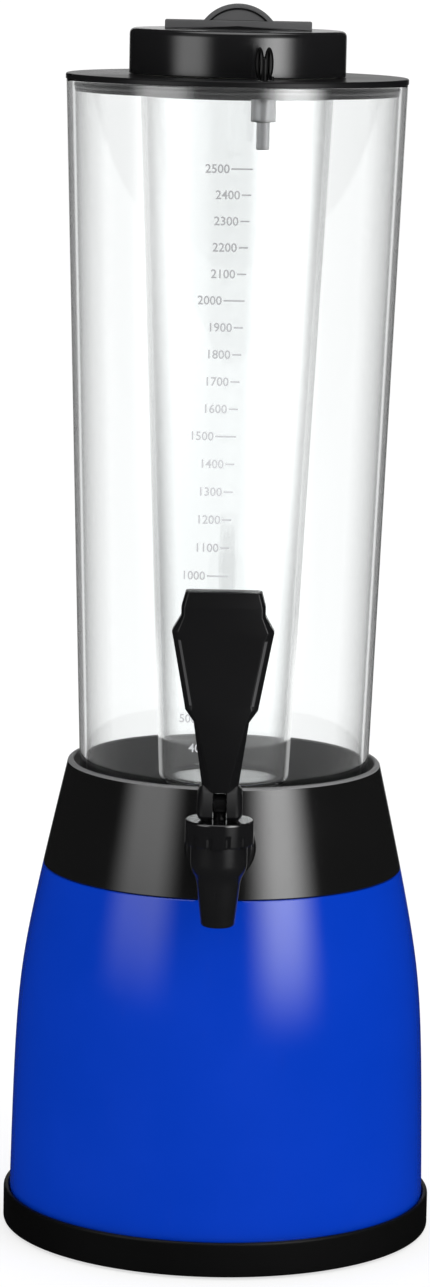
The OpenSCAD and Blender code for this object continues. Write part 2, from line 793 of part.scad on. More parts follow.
// Skins a list of rings of equally many points, closing both ends
module loft(rings) {
    count = len(rings[0]);
    last = len(rings) - 1;
    points = [for (r = rings) each r];
    sides = [
        for (i = [0:last - 1], j = [0:count - 1])
            let (a = i * count + j, b = i * count + (j + 1) % count)
                each [[a, a + count, b], [b, a + count, b + count]]
    ];
    low_end = [for (j = [1:count - 2]) [0, j, j + 1]];
    high_end = [for (j = [1:count - 2]) [last * count, last * count + j + 1, last * count + j]];
    polyhedron(points, concat(sides, low_end, high_end));
}

// Ring of the spring's wire at share t of its length
wire_sides = 6;
rings_per_turn = 12;
spring_rings = spring_turns * rings_per_turn;
spring_rise = spring_gap - spring_wire - hole_fit;
spring_z = cup_top + (spring_wire + hole_fit) / 2;
function spring_axis(i) = let (turn = 360 * i / rings_per_turn)
    [spring_d / 2 * cos(turn), spring_d / 2 * sin(turn), spring_z + spring_rise * i / spring_rings];
function wire_ring(i) = let (turn = 360 * i / rings_per_turn) [
    for (j = [0:wire_sides - 1]) let (a = 360 * j / wire_sides, s = spring_wire / 2)
        spring_axis(i) + [s * cos(a) * cos(turn), s * cos(a) * sin(turn), s * sin(a)]
];
spring_self_gap = min([
    for (i = [0:spring_rings], j = [0:spring_rings])
        if (j - i > rings_per_turn / 2) norm(spring_axis(i) - spring_axis(j)) - spring_wire
]);
echo(spring_self_gap = spring_self_gap);

module tap_spring() {
    color(steel) at_tap() loft([for (i = [0:spring_rings]) wire_ring(i)]);
}

module pivot_pin() {
    pin_l = slot_w + 2 * ear_w;
    color(steel) at_tap() translate([-pin_l / 2, 0, pin_rise]) rotate([0, 90, 0])
        cylinder(d = pin_d, h = pin_l);
}

// One cross-section of the handle: width, front facet, side face and thickness
function handle_ring(z, w, facet, side, t) = let (
    front = [[w, -side], [w, side], [facet, t], [-facet, t]],
    back = [[-w, side], [-w, -side], [-facet, -t], [facet, -t]]
) [for (p = concat(front, back)) [p[0] / 2, p[1] / 2, z]];

// Cam ear from its outer face inwards: its outline grows to full size round a quarter circle
ear_roof = [[-neck_t / 2, slot_top], [-neck_t / 4, ear_top], [neck_t / 4, ear_top]];
ear_outline = concat(cam_back, cam_front, ear_roof);
ear_steps = 4;
function ear_ring(x, inset) = [for (p = ear_outline) concat([x], p * (1 - inset / cam_r))];
ear_out_x = slot_w / 2 + ear_w;
ear_rim = [
    for (i = [0:ear_steps]) let (a = 90 * i / ear_steps)
        ear_ring(ear_out_x - ear_round * (1 - cos(a)), ear_round * (1 - sin(a)))
];
ear_rings = concat(ear_rim, [ear_ring(slot_w / 2, 0)]);

module tap_handle() {
    crown_z = handle_h - crown_h;
    paddle_z = crown_z - corner_h;
    paddle_low_z = paddle_z - paddle_h;
    neck_z = paddle_low_z - step_h;
    neck_low_z = slot_top - ear_root / 2;
    side_t = handle_t - 2 * paddle_bevel;
    inset = 2 * paddle_bevel;
    rings = [
        handle_ring(neck_low_z, neck_low_w, neck_facet_w, side_t / 2, neck_t),
        handle_ring(neck_z, neck_w, neck_w - inset / 2, side_t, handle_t),
        handle_ring(paddle_low_z, paddle_low_w, paddle_low_w - inset, side_t, handle_t),
        handle_ring(paddle_z, paddle_w, paddle_w - inset, side_t, handle_t),
        handle_ring(crown_z, crown_low_w, crown_low_w - inset / 2, side_t, handle_t),
        handle_ring(crown_z + crown_side_h, crown_low_w, crown_low_w - inset / 2, side_t, handle_t),
        handle_ring(handle_h, crown_w, crown_w - inset / 2, side_t, handle_t - paddle_bevel)
    ];
    color(black) at_tap() translate([0, 0, pin_rise]) difference() {
        union() {
            loft(rings);
            for (side = [0, 1]) mirror([side, 0, 0]) loft(ear_rings);
        }
        translate([-slot_w / 2, -handle_t, -handle_t])
            cube([slot_w, 2 * handle_t, handle_t + slot_top]);
        rotate([0, 90, 0])
            cylinder(d = pin_d + 2 * hole_fit, h = 2 * paddle_w, center = true);
    }
}

foot_pad();
foot_plate();
foot_screws();
base_shell();
collar();
tank_gasket();
tank();
lid();
lid_seal();
ice_tube();
tube_gasket();
ice_cap();
cap_seal();
vent_body();
vent_seal();
vent_knob();
tap_body();
tap_washer_outer();
tap_washer_inner();
tap_nut();
tap_bonnet();
valve_stem();
seat_cup();
tap_spring();
pivot_pin();
tap_handle();
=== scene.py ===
import math

import bmesh
import bpy
import numpy as np
from mathutils import Euler, Matrix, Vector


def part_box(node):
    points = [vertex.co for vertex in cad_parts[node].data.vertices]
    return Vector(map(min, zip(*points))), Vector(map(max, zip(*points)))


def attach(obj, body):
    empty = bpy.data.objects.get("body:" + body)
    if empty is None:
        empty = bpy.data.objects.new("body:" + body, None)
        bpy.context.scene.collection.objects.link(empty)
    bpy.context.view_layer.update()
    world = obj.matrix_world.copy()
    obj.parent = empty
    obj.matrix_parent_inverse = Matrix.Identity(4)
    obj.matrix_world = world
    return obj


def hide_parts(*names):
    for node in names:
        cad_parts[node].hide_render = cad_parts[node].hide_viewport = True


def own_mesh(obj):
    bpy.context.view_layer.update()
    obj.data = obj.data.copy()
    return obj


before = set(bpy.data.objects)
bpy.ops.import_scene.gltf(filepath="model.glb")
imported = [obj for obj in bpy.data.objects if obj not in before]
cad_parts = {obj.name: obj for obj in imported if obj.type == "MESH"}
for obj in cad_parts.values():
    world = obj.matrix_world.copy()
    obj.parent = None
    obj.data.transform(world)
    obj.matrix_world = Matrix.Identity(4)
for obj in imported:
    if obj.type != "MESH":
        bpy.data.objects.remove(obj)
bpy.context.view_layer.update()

# Studio
# A pale floor in white light from all round, with a large softbox on either side in front of
# the dispenser and a soft lamp on the right. The camera stands at the photograph's height and
# looks a little down.
camera_back = 1.8609
camera_height = 0.536
camera_pitch = math.radians(9.01)
camera_yaw = math.radians(0.14)
camera_round = math.radians(0.7)
camera_roll = math.radians(1.12)
camera_lens = 129.93
camera_sensor = 36
panel_away = 0.7
panel_low = 0.0
panel_high = 1.4
panel_full = 0.54
panel_faint = 0.66
faint_share = 0.1
panel_walls = 4.5
key_size = 1.2
key_power = 12.0
key_place = (1.3, -1.3, 1.1)
key_turn = (math.radians(65), 0, math.radians(45))
open_light = 0.95
floor_half = 40.0
floor_glow = 0.66


def add(tree, kind, *plain, **named):
    """Adds a shader node. A value that is a socket is linked, any other is set on the node itself."""
    node = tree.nodes.new("ShaderNode" + kind)
    sockets = list(enumerate(plain))
    for key, value in named.items():
        if key in node.bl_rna.properties:
            setattr(node, key, value)
        else:
            sockets.append((key.replace("_", " "), value))
    for key, value in sockets:
        if isinstance(value, bpy.types.NodeSocket):
            tree.links.new(value, node.inputs[key])
        else:
            node.inputs[key].default_value = value
    return node


def product(tree, first, second):
    """Product of two values in a node tree."""
    return add(tree, "Math", first, second, operation="MULTIPLY").outputs[0]


def eased(tree, value, start, end, low=0.0, high=1.0):
    """Value that eases from low to high while another goes from start to end."""
    return add(
        tree, "MapRange", interpolation_type="SMOOTHSTEP", Value=value,
        From_Min=start, From_Max=end, To_Min=low, To_Max=high,
    ).outputs["Result"]


def object_place(tree):
    """The three object coordinates as values."""
    return add(tree, "SeparateXYZ", add(tree, "TexCoord").outputs["Object"]).outputs


def softbox(name, left_edge, right_edge, radiance, fade, soft):
    """Upright curved panel between two bearings in degrees, counted from the camera to its right, that
    glossy surfaces mirror, also behind clear walls. It is clear but for its light, which fades out at
    both sides and towards its lower edge, and is faint high up."""
    bearing, height = np.meshgrid(
        np.radians(np.linspace(left_edge - soft, right_edge + soft, 24)),
        np.linspace(panel_low, panel_high, 2),
    )
    points = np.stack([panel_away * np.sin(bearing), -panel_away * np.cos(bearing), height], axis=-1)
    index = np.arange(points.size // 3).reshape(points.shape[:2])
    quads = np.stack([index[:-1, :-1], index[:-1, 1:], index[1:, 1:], index[1:, :-1]], axis=-1)
    mesh = bpy.data.meshes.new(name)
    mesh.from_pydata(points.reshape(-1, 3).tolist(), [], quads.reshape(-1, 4).tolist())
    panel = bpy.data.objects.new(name, mesh)
    bpy.context.scene.collection.objects.link(panel)
    panel.visible_camera = False
    panel.visible_diffuse = False
    panel.visible_shadow = False
    glow = bpy.data.materials.new(name)
    glow.use_nodes = True
    tree = glow.node_tree
    tree.nodes.clear()
    place = object_place(tree)
    toward = product(tree, place["Y"], -1.0)
    seen = add(tree, "Math", place["X"], toward, operation="ARCTAN2").outputs[0]
    sides = [
        eased(tree, seen, math.radians(edge - way * soft), math.radians(edge + way * soft))
        for edge, way in ((left_edge, 1), (right_edge, -1))
    ]
    rise = eased(tree, place["Z"], *fade, high=radiance)
    fall = eased(tree, place["Z"], panel_full, panel_faint, low=1.0, high=faint_share)
    walls = add(tree, "LightPath").outputs["Transmission Depth"]
    shown = add(tree, "Math", walls, panel_walls, operation="LESS_THAN").outputs[0]
    lit = product(tree, product(tree, *sides), shown)
    level = product(tree, lit, product(tree, rise, fall))
    light = add(tree, "Emission", Color=(1, 1, 1, 1), Strength=level).outputs[0]
    clear = add(tree, "BsdfTransparent").outputs[0]
    add(tree, "OutputMaterial", add(tree, "AddShader", light, clear).outputs[0])
    mesh.materials.append(glow)


softbox("softbox_right", left_edge=25, right_edge=53, radiance=8.4, fade=(0.02, 0.34), soft=12)
softbox("softbox_left", left_edge=-66, right_edge=-32, radiance=3.2, fade=(0.08, 0.36), soft=10)

key = bpy.data.lights.new("key_light", "AREA")
key.size = key_size
key.energy = key_power
key_lamp = bpy.data.objects.new("key_light", key)
key_lamp.location = key_place
key_lamp.rotation_euler = key_turn
key_lamp.visible_glossy = False
bpy.context.scene.collection.objects.link(key_lamp)

world = bpy.data.worlds.new("studio")
world.use_nodes = True
world.cycles.sampling_method = "NONE"
bpy.context.scene.world = world
sky = world.node_tree
sky.nodes.clear()
ray = add(sky, "LightPath").outputs
toward = add(sky, "SeparateXYZ", add(sky, "TexCoord").outputs["Generated"]).outputs


def sky_choice(share, plain, special):
    """Mix of two brightnesses by a share."""
    return add(sky, "Mix", Factor=share, A=plain, B=special).outputs["Result"]


def sky_most(first, second):
    """The greater of two brightnesses."""
    return add(sky, "Math", first, second, operation="MAXIMUM").outputs[0]


# By direction, what the pieces mirror is dark but for the backdrop and a light from above. Behind clear
# walls, the backdrop, the ceiling and the front show, and whatever is matt there gets the full light.
behind = eased(sky, toward["Y"], start=0.965, end=0.99, low=0.01, high=1.0)
above = eased(sky, toward["Z"], start=0.8, end=0.96, high=3.0)
mirrored = sky_most(behind, above)
backdrop = eased(sky, toward["Y"], start=0.86, end=0.965, low=0.1, high=1.1)
ceiling = eased(sky, toward["Z"], start=0.25, end=0.5, high=1.2)
front = eased(sky, toward["Y"], start=-0.3, end=-0.7, high=0.8)
seen_through = sky_most(sky_most(backdrop, ceiling), front)
shining_in = add(sky, "Math", ray["Diffuse Depth"], 0.5, operation="GREATER_THAN").outputs[0]
behind_walls = sky_choice(shining_in, seen_through, open_light)
open_level = sky_choice(ray["Is Transmission Ray"], open_light, behind_walls)
level = sky_choice(ray["Is Glossy Ray"], open_level, mirrored)
add(sky, "OutputWorld", add(sky, "Background", Color=(1, 1, 1, 1), Strength=level).outputs[0])

floor_mesh = bpy.data.meshes.new("floor")
floor_corners = [(x * floor_half, y * floor_half, 0) for x, y in ((-1, -1), (1, -1), (1, 1), (-1, 1))]
floor_mesh.from_pydata(floor_corners, [], [(0, 1, 2, 3)])
floor = bpy.data.objects.new("floor", floor_mesh)
floor.visible_glossy = False
bpy.context.scene.collection.objects.link(floor)
pale = bpy.data.materials.new("pale_floor")
pale.use_nodes = True
pale_grain = add(pale.node_tree, "TexNoise", Scale=3.0, Detail=2.0)
pale_tone = add(pale.node_tree, "MapRange", Value=pale_grain.outputs["Fac"], To_Min=0.38, To_Max=0.42)
pale_shader = pale.node_tree.nodes["Principled BSDF"]
pale.node_tree.links.new(pale_tone.outputs["Result"], pale_shader.inputs["Base Color"])
pale_shader.inputs["Roughness"].default_value = 0.9
pale_shader.inputs["Specular IOR Level"].default_value = 0.0
pale_shader.inputs["Emission Color"].default_value = (1, 1, 1, 1)
pale_shader.inputs["Emission Strength"].default_value = floor_glow
floor_mesh.materials.append(pale)

camera = bpy.data.cameras.new("photo_camera")
camera.lens = camera_lens
camera.sensor_width = camera_sensor
camera_stand = bpy.data.objects.new("photo_camera", camera)
turned = Euler((math.radians(90) - camera_pitch, 0, camera_yaw)).to_matrix().to_4x4()
camera_stand.matrix_world = (
    Matrix.Rotation(camera_round, 4, "Z") @ Matrix.Translation((0, -camera_back, camera_height))
    @ turned @ Matrix.Rotation(camera_roll, 4, "Z")
)
bpy.context.scene.collection.objects.link(camera_stand)
bpy.context.scene.camera = camera_stand
bpy.context.scene.view_settings.view_transform = "Standard"
bpy.context.scene.cycles.max_bounces = 32
bpy.context.scene.cycles.transmission_bounces = 32
bpy.context.scene.cycles.glossy_bounces = 8

# Foot pad
# A round anti-slip disc of black rubber, pressed into a recess under the foot plate. Its
# underside has concentric grip grooves, as such pads are moulded.
MM = 0.001
pad_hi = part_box("foot_pad")[1]
pad_groove_pitch = 6 * MM
pad_groove_depth = 0.6 * MM
pad_edge = 0.4 * MM
pad_colour = (24, 24, 25)


def soften(corners, radius, steps=6, hold=0.3 * MM, closed=False):
    """Profile with rounded corners: each corner becomes the quadratic curve between the points one radius
    away on its two edges, and each straight run gets an extra point close to either end."""
    p = np.asarray(corners, float)
    reach = np.broadcast_to(np.asarray(radius, float), len(p))[:, None].copy()
    if not closed:
        reach[[0, -1]] = 0

    def toward(q):
        """Points one radius from each corner on the way to q, and at most halfway."""
        run = q - p
        length = np.maximum(np.linalg.norm(run, axis=1, keepdims=True), 1e-9)
        return p + run * np.minimum(reach / length, 0.5)

    start, end = toward(np.roll(p, 1, 0))[:, None], toward(np.roll(p, -1, 0))[:, None]
    t = np.linspace(0, 1, steps)[:, None]
    curve = (1 - t) ** 2 * start + 2 * t * (1 - t) * p[:, None] + t ** 2 * end
    last = curve[:, -1]
    run = np.roll(curve[:, 0], -1, 0) - last
    share = np.minimum(hold / np.maximum(np.linalg.norm(run, axis=1, keepdims=True), 1e-9), 0.33)
    held = np.stack([last + run * share, last + run * (1 - share)], axis=1)
    points = np.concatenate([curve, held], axis=1).reshape(-1, 2)
    if not closed:
        points = points[:-2]
    apart = np.linalg.norm(np.diff(points, axis=0), axis=1) > 1e-7
    return points[np.r_[True, apart]]


def bearings(count):
    """Angles that divide a full turn into equal steps."""
    return np.linspace(0, 2 * np.pi, count, endpoint=False)


def polar(r, a, z):
    """Points at radius r, bearing a and height z."""
    return np.stack(np.broadcast_arrays(r * np.cos(a), r * np.sin(a), z), axis=-1)


def spin(profile, turns=192):
    """Surface of revolution: the profile's point (r, z) goes round to (r cos a, r sin a, z)."""
    r, z = np.asarray(profile, float).T
    return polar(r, bearings(turns)[:, None], z)


def closed_object(name, points, faces):
    """Object of points and faces. Points that fall together become one, and all faces turn outwards."""
    mesh = bpy.data.meshes.new(name)
    mesh.from_pydata(points.tolist(), [], faces.tolist())
    closing = bmesh.new()
    closing.from_mesh(mesh)
    bmesh.ops.remove_doubles(closing, verts=closing.verts, dist=1e-7)
    bmesh.ops.recalc_face_normals(closing, faces=closing.faces)
    closing.to_mesh(mesh)
    closing.free()
    piece = bpy.data.objects.new(name, mesh)
    bpy.context.scene.collection.objects.link(piece)
    return piece


def skin(name, *grids, loop=False):
    """Object over one or more grids of points. A grid's rows close on themselves, and so do its columns
    where loop is true."""
    points, faces, first = [], [], 0
    for grid in grids:
        rows, columns = grid.shape[:2]
        index = first + np.arange(rows * columns).reshape(rows, columns)
        index = np.vstack([index, index[:1]])
        if loop:
            index = np.hstack([index, index[:, :1]])
        quads = np.stack([index[:-1, :-1], index[1:, :-1], index[1:, 1:], index[:-1, 1:]], axis=-1)
        points.append(grid.reshape(-1, 3))
        faces.append(quads.reshape(-1, 4))
        first += rows * columns
    return closed_object(name, np.vstack(points), np.vstack(faces))


def polish(piece, finish, crease=30):
    """Smooth shading with creases where faces meet at more than the angle in degrees, and the finish."""
    piece.data.shade_smooth()
    piece.data.set_sharp_from_angle(angle=math.radians(crease))
    piece.data.materials.clear()
    piece.data.materials.append(finish)


def tone(red, green, blue):
    """Linear colour of a display colour given in steps of 255."""
    c = np.array([red, green, blue]) / 255
    return (*np.where(c < 0.04045, c / 12.92, ((c + 0.055) / 1.055) ** 2.4), 1.0)


def scaled(tree, value, factor, base):
    """A value times a factor, plus a base."""
    return add(tree, "Math", value, factor, base, operation="MULTIPLY_ADD").outputs[0]


def new_skin(name, *takes):
    """Starts a node group that takes a colour and the named values, and gives a colour, a roughness and a
    height. Returns its tree, its inputs and its outputs."""
    tree = bpy.data.node_groups.new(name, "ShaderNodeTree")
    for way, sockets in (("INPUT", takes), ("OUTPUT", ("Roughness", "Height"))):
        for socket in ("Colour", *sockets):
            kind = "Color" if socket == "Colour" else "Float"
            tree.interface.new_socket(socket, in_out=way, socket_type="NodeSocket" + kind)
    return tree, tree.nodes.new("NodeGroupInput").outputs, tree.nodes.new("NodeGroupOutput").inputs


def give(tree, gives, *values):
    """Links a skin's colour, roughness and height to its outputs."""
    for value, socket in zip(values, gives):
        tree.links.new(value, socket)


# The skin of a moulding: clouds of slightly lighter and darker colour, fine grain, and hairline rubs
moulded_skin, takes, gives = new_skin("moulded_skin", "Mottle", "Rough", "Spread", "Grain")
where = add(moulded_skin, "TexCoord").outputs["Object"]
cloud = add(moulded_skin, "TexNoise", Vector=where, Scale=18.0, Detail=4.0, Roughness=0.6).outputs["Fac"]
grain = add(moulded_skin, "TexNoise", Vector=where, Scale=takes["Grain"], Detail=2.0).outputs["Fac"]
drawn_out = add(moulded_skin, "Mapping", Vector=where, Rotation=(0.2, 0.1, 0.4), Scale=(700, 700, 26))
rub = add(moulded_skin, "TexNoise", Vector=drawn_out.outputs[0], Scale=1.0, Detail=1.0).outputs["Fac"]
hairline = add(moulded_skin, "MapRange", Value=rub, From_Min=0.66, From_Max=0.74).outputs["Result"]
swing = add(
    moulded_skin, "MapRange", Value=cloud, From_Min=0.3, From_Max=0.7, To_Min=-1.0, To_Max=1.0
).outputs["Result"]
lift = scaled(moulded_skin, swing, takes["Mottle"], 1.0)
shaded = add(moulded_skin, "HueSaturation", Value=lift, Color=takes["Colour"]).outputs[0]
rough = scaled(moulded_skin, swing, takes["Spread"], takes["Rough"])
give(moulded_skin, gives, shaded, scaled(moulded_skin, hairline, 0.04, rough), grain)


def skinned(name, look, depth, distance, **values):
    """Material whose colour, roughness and bump come from a skin, with its shader and the skin's node."""
    finish = bpy.data.materials.new(name)
    finish.use_nodes = True
    tree = finish.node_tree
    shader = tree.nodes["Principled BSDF"]
    surface = add(tree, "Group", node_tree=look, **values)
    bump = add(tree, "Bump", Strength=depth, Distance=distance, Height=surface.outputs["Height"])
    tree.links.new(surface.outputs["Colour"], shader.inputs["Base Color"])
    tree.links.new(surface.outputs["Roughness"], shader.inputs["Roughness"])
    tree.links.new(bump.outputs[0], shader.inputs["Normal"])
    return finish, shader, surface


def moulded(name, colour, rough, spread=0.03, mottle=0.06, grain=900.0, depth=0.15, level=0.5):
    """Opaque moulded finish: the skin's colour, roughness and grain on a plain plastic shader."""
    finish, shader, _ = skinned(
        name, moulded_skin, depth, distance=0.1 * MM,
        Colour=tone(*colour), Mottle=mottle, Rough=rough, Spread=spread, Grain=grain,
    )
    shader.inputs["Specular IOR Level"].default_value = level
    return finish


pad_r = np.linspace(0, pad_hi.x - pad_edge, 400)
pad_under = pad_groove_depth * np.clip(2 * np.cos(2 * np.pi * pad_r / pad_groove_pitch) - 1, 0, 1)
pad_rim = [
    (pad_hi.x, pad_edge), (pad_hi.x, pad_hi.z - pad_edge), (pad_hi.x - pad_edge, pad_hi.z), (0, pad_hi.z)
]
pad = skin("anti_slip_pad", spin(np.vstack([np.stack([pad_r, pad_under], axis=1), pad_rim])))
black_rubber = moulded("black_rubber", pad_colour, 0.75, mottle=0.12, grain=1600.0, depth=0.5, level=0.3)
polish(pad, black_rubber)
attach(pad, "base")
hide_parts("foot_pad")

# Foot plate
# The black plate that closes the base, with an upstanding lip round the shell. Injection-moulded,
# with a recess for the pad and a stepped hole for each of the four screws.
foot_lo, foot_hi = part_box("foot_plate")
screw_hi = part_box("foot_screws")[1]
foot_lip_w = 2 * MM
foot_plate_top = 4.5 * MM
foot_recess_r = pad_hi.x + 0.2 * MM
screw_head_r = 3.25 * MM
screw_r = 1.5 * MM
screw_seat = 3.6 * MM
screw_play = 0.2 * MM
screw_hole_top = 6 * MM
screw_count = 4
# How far a tool reaches past what it cuts or joins
overlap = 1 * MM
# The screws stand at 45 degrees, so their ring's radius follows from the box round them
screw_ring = (screw_hi.x - screw_head_r) * math.sqrt(2)


def carve(piece, tool, way):
    """Adds the tool's volume to a piece, takes it away or keeps what they share, and uses the tool up."""
    step = piece.modifiers.new("carve", "BOOLEAN")
    step.operation = way
    step.object = tool
    step.solver = "MANIFOLD"
    result = bpy.data.meshes.new_from_object(piece.evaluated_get(bpy.context.evaluated_depsgraph_get()))
    piece.modifiers.clear()
    piece.data = result
    bpy.data.objects.remove(tool)


def at_screws(grid):
    """The grid moved to each of the screws' places."""
    a = (np.arange(screw_count) + 0.5) * 2 * np.pi / screw_count
    return [grid + np.array([screw_ring * math.cos(t), screw_ring * math.sin(t), 0]) for t in a]


foot_lip_in = foot_hi.x - foot_lip_w
foot_corners = [
    (0, pad_hi.z), (foot_recess_r, pad_hi.z), (foot_recess_r, foot_lo.z), (foot_hi.x, foot_lo.z),
    (foot_hi.x, foot_hi.z), (foot_lip_in, foot_hi.z), (foot_lip_in, foot_plate_top), (0, foot_plate_top),
]
foot_rounds = np.array([0, 0.1, 0.3, 1.2, 1.2, 0.5, 0.4, 0]) * MM
foot = skin("foot_plate_lip", spin(soften(foot_corners, foot_rounds)))
screw_hole = [
    (0, -overlap), (screw_head_r + screw_play, -overlap), (screw_head_r + screw_play, screw_seat),
    (screw_r + screw_play, screw_seat), (screw_r + screw_play, screw_hole_top), (0, screw_hole_top),
]
carve(foot, skin("screw_holes", *at_screws(spin(screw_hole, 48))), "DIFFERENCE")
foot_black = moulded("foot_black", (10, 10, 10), 0.4, mottle=0.1, depth=0.1, level=0.12)
polish(foot, foot_black)
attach(foot, "base")
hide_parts("foot_plate")

# Foot screws
# Four steel pan-head screws with a cross recess, driven up through the plate into the shell's
# bosses. They keep their solid and get the finish of bright zinc-plated steel.
drawn_skin, takes, gives = new_skin("drawn_skin", "Rough")
where = add(drawn_skin, "TexCoord").outputs["Object"]
stretched = add(drawn_skin, "Mapping", Vector=where, Scale=(2600, 2600, 300)).outputs[0]
lines = add(drawn_skin, "TexNoise", Vector=stretched, Scale=1.0, Detail=3.0).outputs["Fac"]
blotch = add(drawn_skin, "TexNoise", Vector=where, Scale=500.0, Detail=2.0).outputs["Fac"]
gleam = add(drawn_skin, "MapRange", Value=blotch, To_Min=0.85, To_Max=1.1).outputs["Result"]
tinted = add(drawn_skin, "HueSaturation", Value=gleam, Color=takes["Colour"]).outputs[0]
worn = scaled(drawn_skin, lines, 0.16, takes["Rough"])
give(drawn_skin, gives, tinted, worn, lines)


def drawn_steel(name, colour, rough):
    """Metal finish with fine drawing lines and slightly uneven gleam."""
    finish, shader, _ = skinned(
        name, drawn_skin, depth=0.2, distance=0.02 * MM, Colour=tone(*colour), Rough=rough
    )
    shader.inputs["Metallic"].default_value = 1.0
    return finish


zinc_steel = drawn_steel("zinc_steel", (196, 200, 205), 0.22)
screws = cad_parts["foot_screws"]
screws.data.materials.clear()
screws.data.materials.append(zinc_steel)

# Base shell
# The blue flared shell, moulded in glossy coloured plastic. It stands in the foot's lip, the
# screws hold it by four bosses inside, and the collar laps into its upper edge.
shell_lo, shell_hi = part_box("base_shell")
shell_wall = 2.5 * MM
side_low_r = 85.6 * MM
side_high_r = 63.87 * MM
side_high_z = 193.3 * MM
side_draft = math.tan(math.radians(0.8))
side_flare = math.tan(math.radians(13.1))
side_blend = 3.2 * MM
boss_r = 4.5 * MM
boss_h = 22 * MM
boss_bore = 14 * MM


def side(z):
    """Radius of the base at height z: the smooth lesser, by a hyperbola, of a steep and a leaning line."""
    low = side_low_r - (z - foot_plate_top) * side_draft
    high = side_high_r + (side_high_z - z) * side_flare
    return (low + high) / 2 - np.sqrt(((low - high) / 2) ** 2 + side_blend ** 2)


def side_line(z0, z1, inset, steps):
    """Stretch of the base's side between two heights, moved in by inset."""
    z = np.linspace(z0, z1, steps)
    return np.stack([side(z) - inset, z], axis=1)


shell_edge = 0.35 * MM
shell_profile = np.vstack([
    side_line(shell_lo.z + shell_edge, shell_hi.z - shell_edge, 0, 90),
    side_line(shell_hi.z, shell_hi.z, shell_edge, 1),
    side_line(shell_hi.z, shell_lo.z, shell_wall, 60),
    side_line(shell_lo.z, shell_lo.z, shell_edge, 1),
])
shell = skin("blue_shell", spin(shell_profile, 256), loop=True)
boss_profile = [
    (0, shell_lo.z + boss_bore), (screw_r, shell_lo.z + boss_bore), (screw_r, shell_lo.z),
    (boss_r, shell_lo.z), (boss_r, shell_lo.z + boss_h), (0, shell_lo.z + boss_h),
]
carve(shell, skin("screw_bosses", *at_screws(spin(boss_profile, 40))), "UNION")
blue_gloss = moulded(
    "blue_gloss", (0, 54, 180), 0.11, spread=0.02, mottle=0.04, grain=420.0, depth=0.05, level=0.42
)
polish(shell, blue_gloss)
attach(shell, "base")
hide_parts("base_shell")

# Collar
# The black collar that laps into the shell, carries the tank on an inner shelf and holds the tap
# on a flat round boss. Glossy moulded plastic with a rounded rim.
collar_lo, collar_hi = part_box("collar")
washer_lo, washer_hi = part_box("tap_washer_outer")
nut_lo, nut_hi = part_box("tap_nut")
tap_z = (nut_lo.z + nut_hi.z) / 2
collar_wall = 2.6 * MM
collar_seam = shell_hi.z
collar_gap = 0.6 * MM
collar_lap = shell_wall + 0.2 * MM
shelf_top = 151.5 * MM
shelf_under = 147.5 * MM
shelf_in_r = 41.7 * MM
rim_low = collar_hi.z - 4 * MM
rim_round = 1.3 * MM
rim_highlight_band = 0.8 * MM
tap_boss_r = 14.2 * MM
tap_boss_round = 0.5 * MM
tap_hole_r = 8.1 * MM
tap_hole_reach = 80 * MM
tap_pad_front = 58.63 * MM


def along_y(grid, z):
    """The grid with its axis laid along Y at height z, so that its own z becomes y."""
    return grid[..., [0, 2, 1]] * np.array([1, 1, -1]) + np.array([0, 0, z])


def rod(radius, start, end):
    """Profile of a plain round bar along its axis, from start to end."""
    return [(0, start), (radius, start), (radius, end), (0, end)]


rim_out = side(collar_hi.z)
collar_rim = soften(
    [(side(rim_low), rim_low), (rim_out, collar_hi.z),
     (rim_out - collar_wall, collar_hi.z), (side(rim_low) - collar_wall, rim_low)],
    rim_round, steps=8,
)
shelf_out_r = side(shelf_top) - collar_wall
collar_profile = np.vstack([
    [(side(collar_seam) - collar_gap, collar_seam)],
    side_line(collar_seam + collar_gap, rim_low - MM, 0, 40),
    collar_rim,
    side_line(rim_low - MM, shelf_top + 2 * MM, collar_wall, 40),
    [(shelf_out_r - 0.6 * MM, shelf_top + 0.6 * MM), (shelf_out_r - 2 * MM, shelf_top)],
    [(shelf_in_r + 0.4 * MM, shelf_top), (shelf_in_r, shelf_top - 0.4 * MM), (shelf_in_r, shelf_under)],
    side_line(shelf_under, collar_lo.z, collar_lap + collar_wall, 6),
    side_line(collar_lo.z, collar_seam, collar_lap, 12),
])
collar = skin("black_collar", spin(collar_profile, 256), loop=True)
tap_boss = soften(rod(tap_boss_r, washer_hi.y, -tap_pad_front - 0.2 * MM), tap_boss_round)
carve(collar, skin("tap_boss", along_y(spin(tap_boss, 96), tap_z)), "UNION")
tap_hole = rod(tap_hole_r, -tap_hole_reach, 0)
carve(collar, skin("tap_hole", along_y(spin(tap_hole, 96), tap_z)), "DIFFERENCE")
collar_black = moulded("collar_black", (18, 18, 18), 0.12, mottle=0.08, grain=500.0, depth=0.05)
polish(collar, collar_black)


def face_values(piece, name):
    """Middles or normals of a piece's faces, one row for each face."""
    values = np.empty(3 * len(piece.data.polygons))
    piece.data.polygons.foreach_get(name, values)
    return values.reshape(-1, 3)


def part_finish(piece, finish, faces):
    """Gives some of a piece's faces a finish of their own."""
    index = np.empty(len(piece.data.polygons), np.int32)
    piece.data.polygons.foreach_get("material_index", index)
    index[faces] = len(piece.data.materials)
    piece.data.materials.append(finish)
    piece.data.polygons.foreach_set("material_index", index)
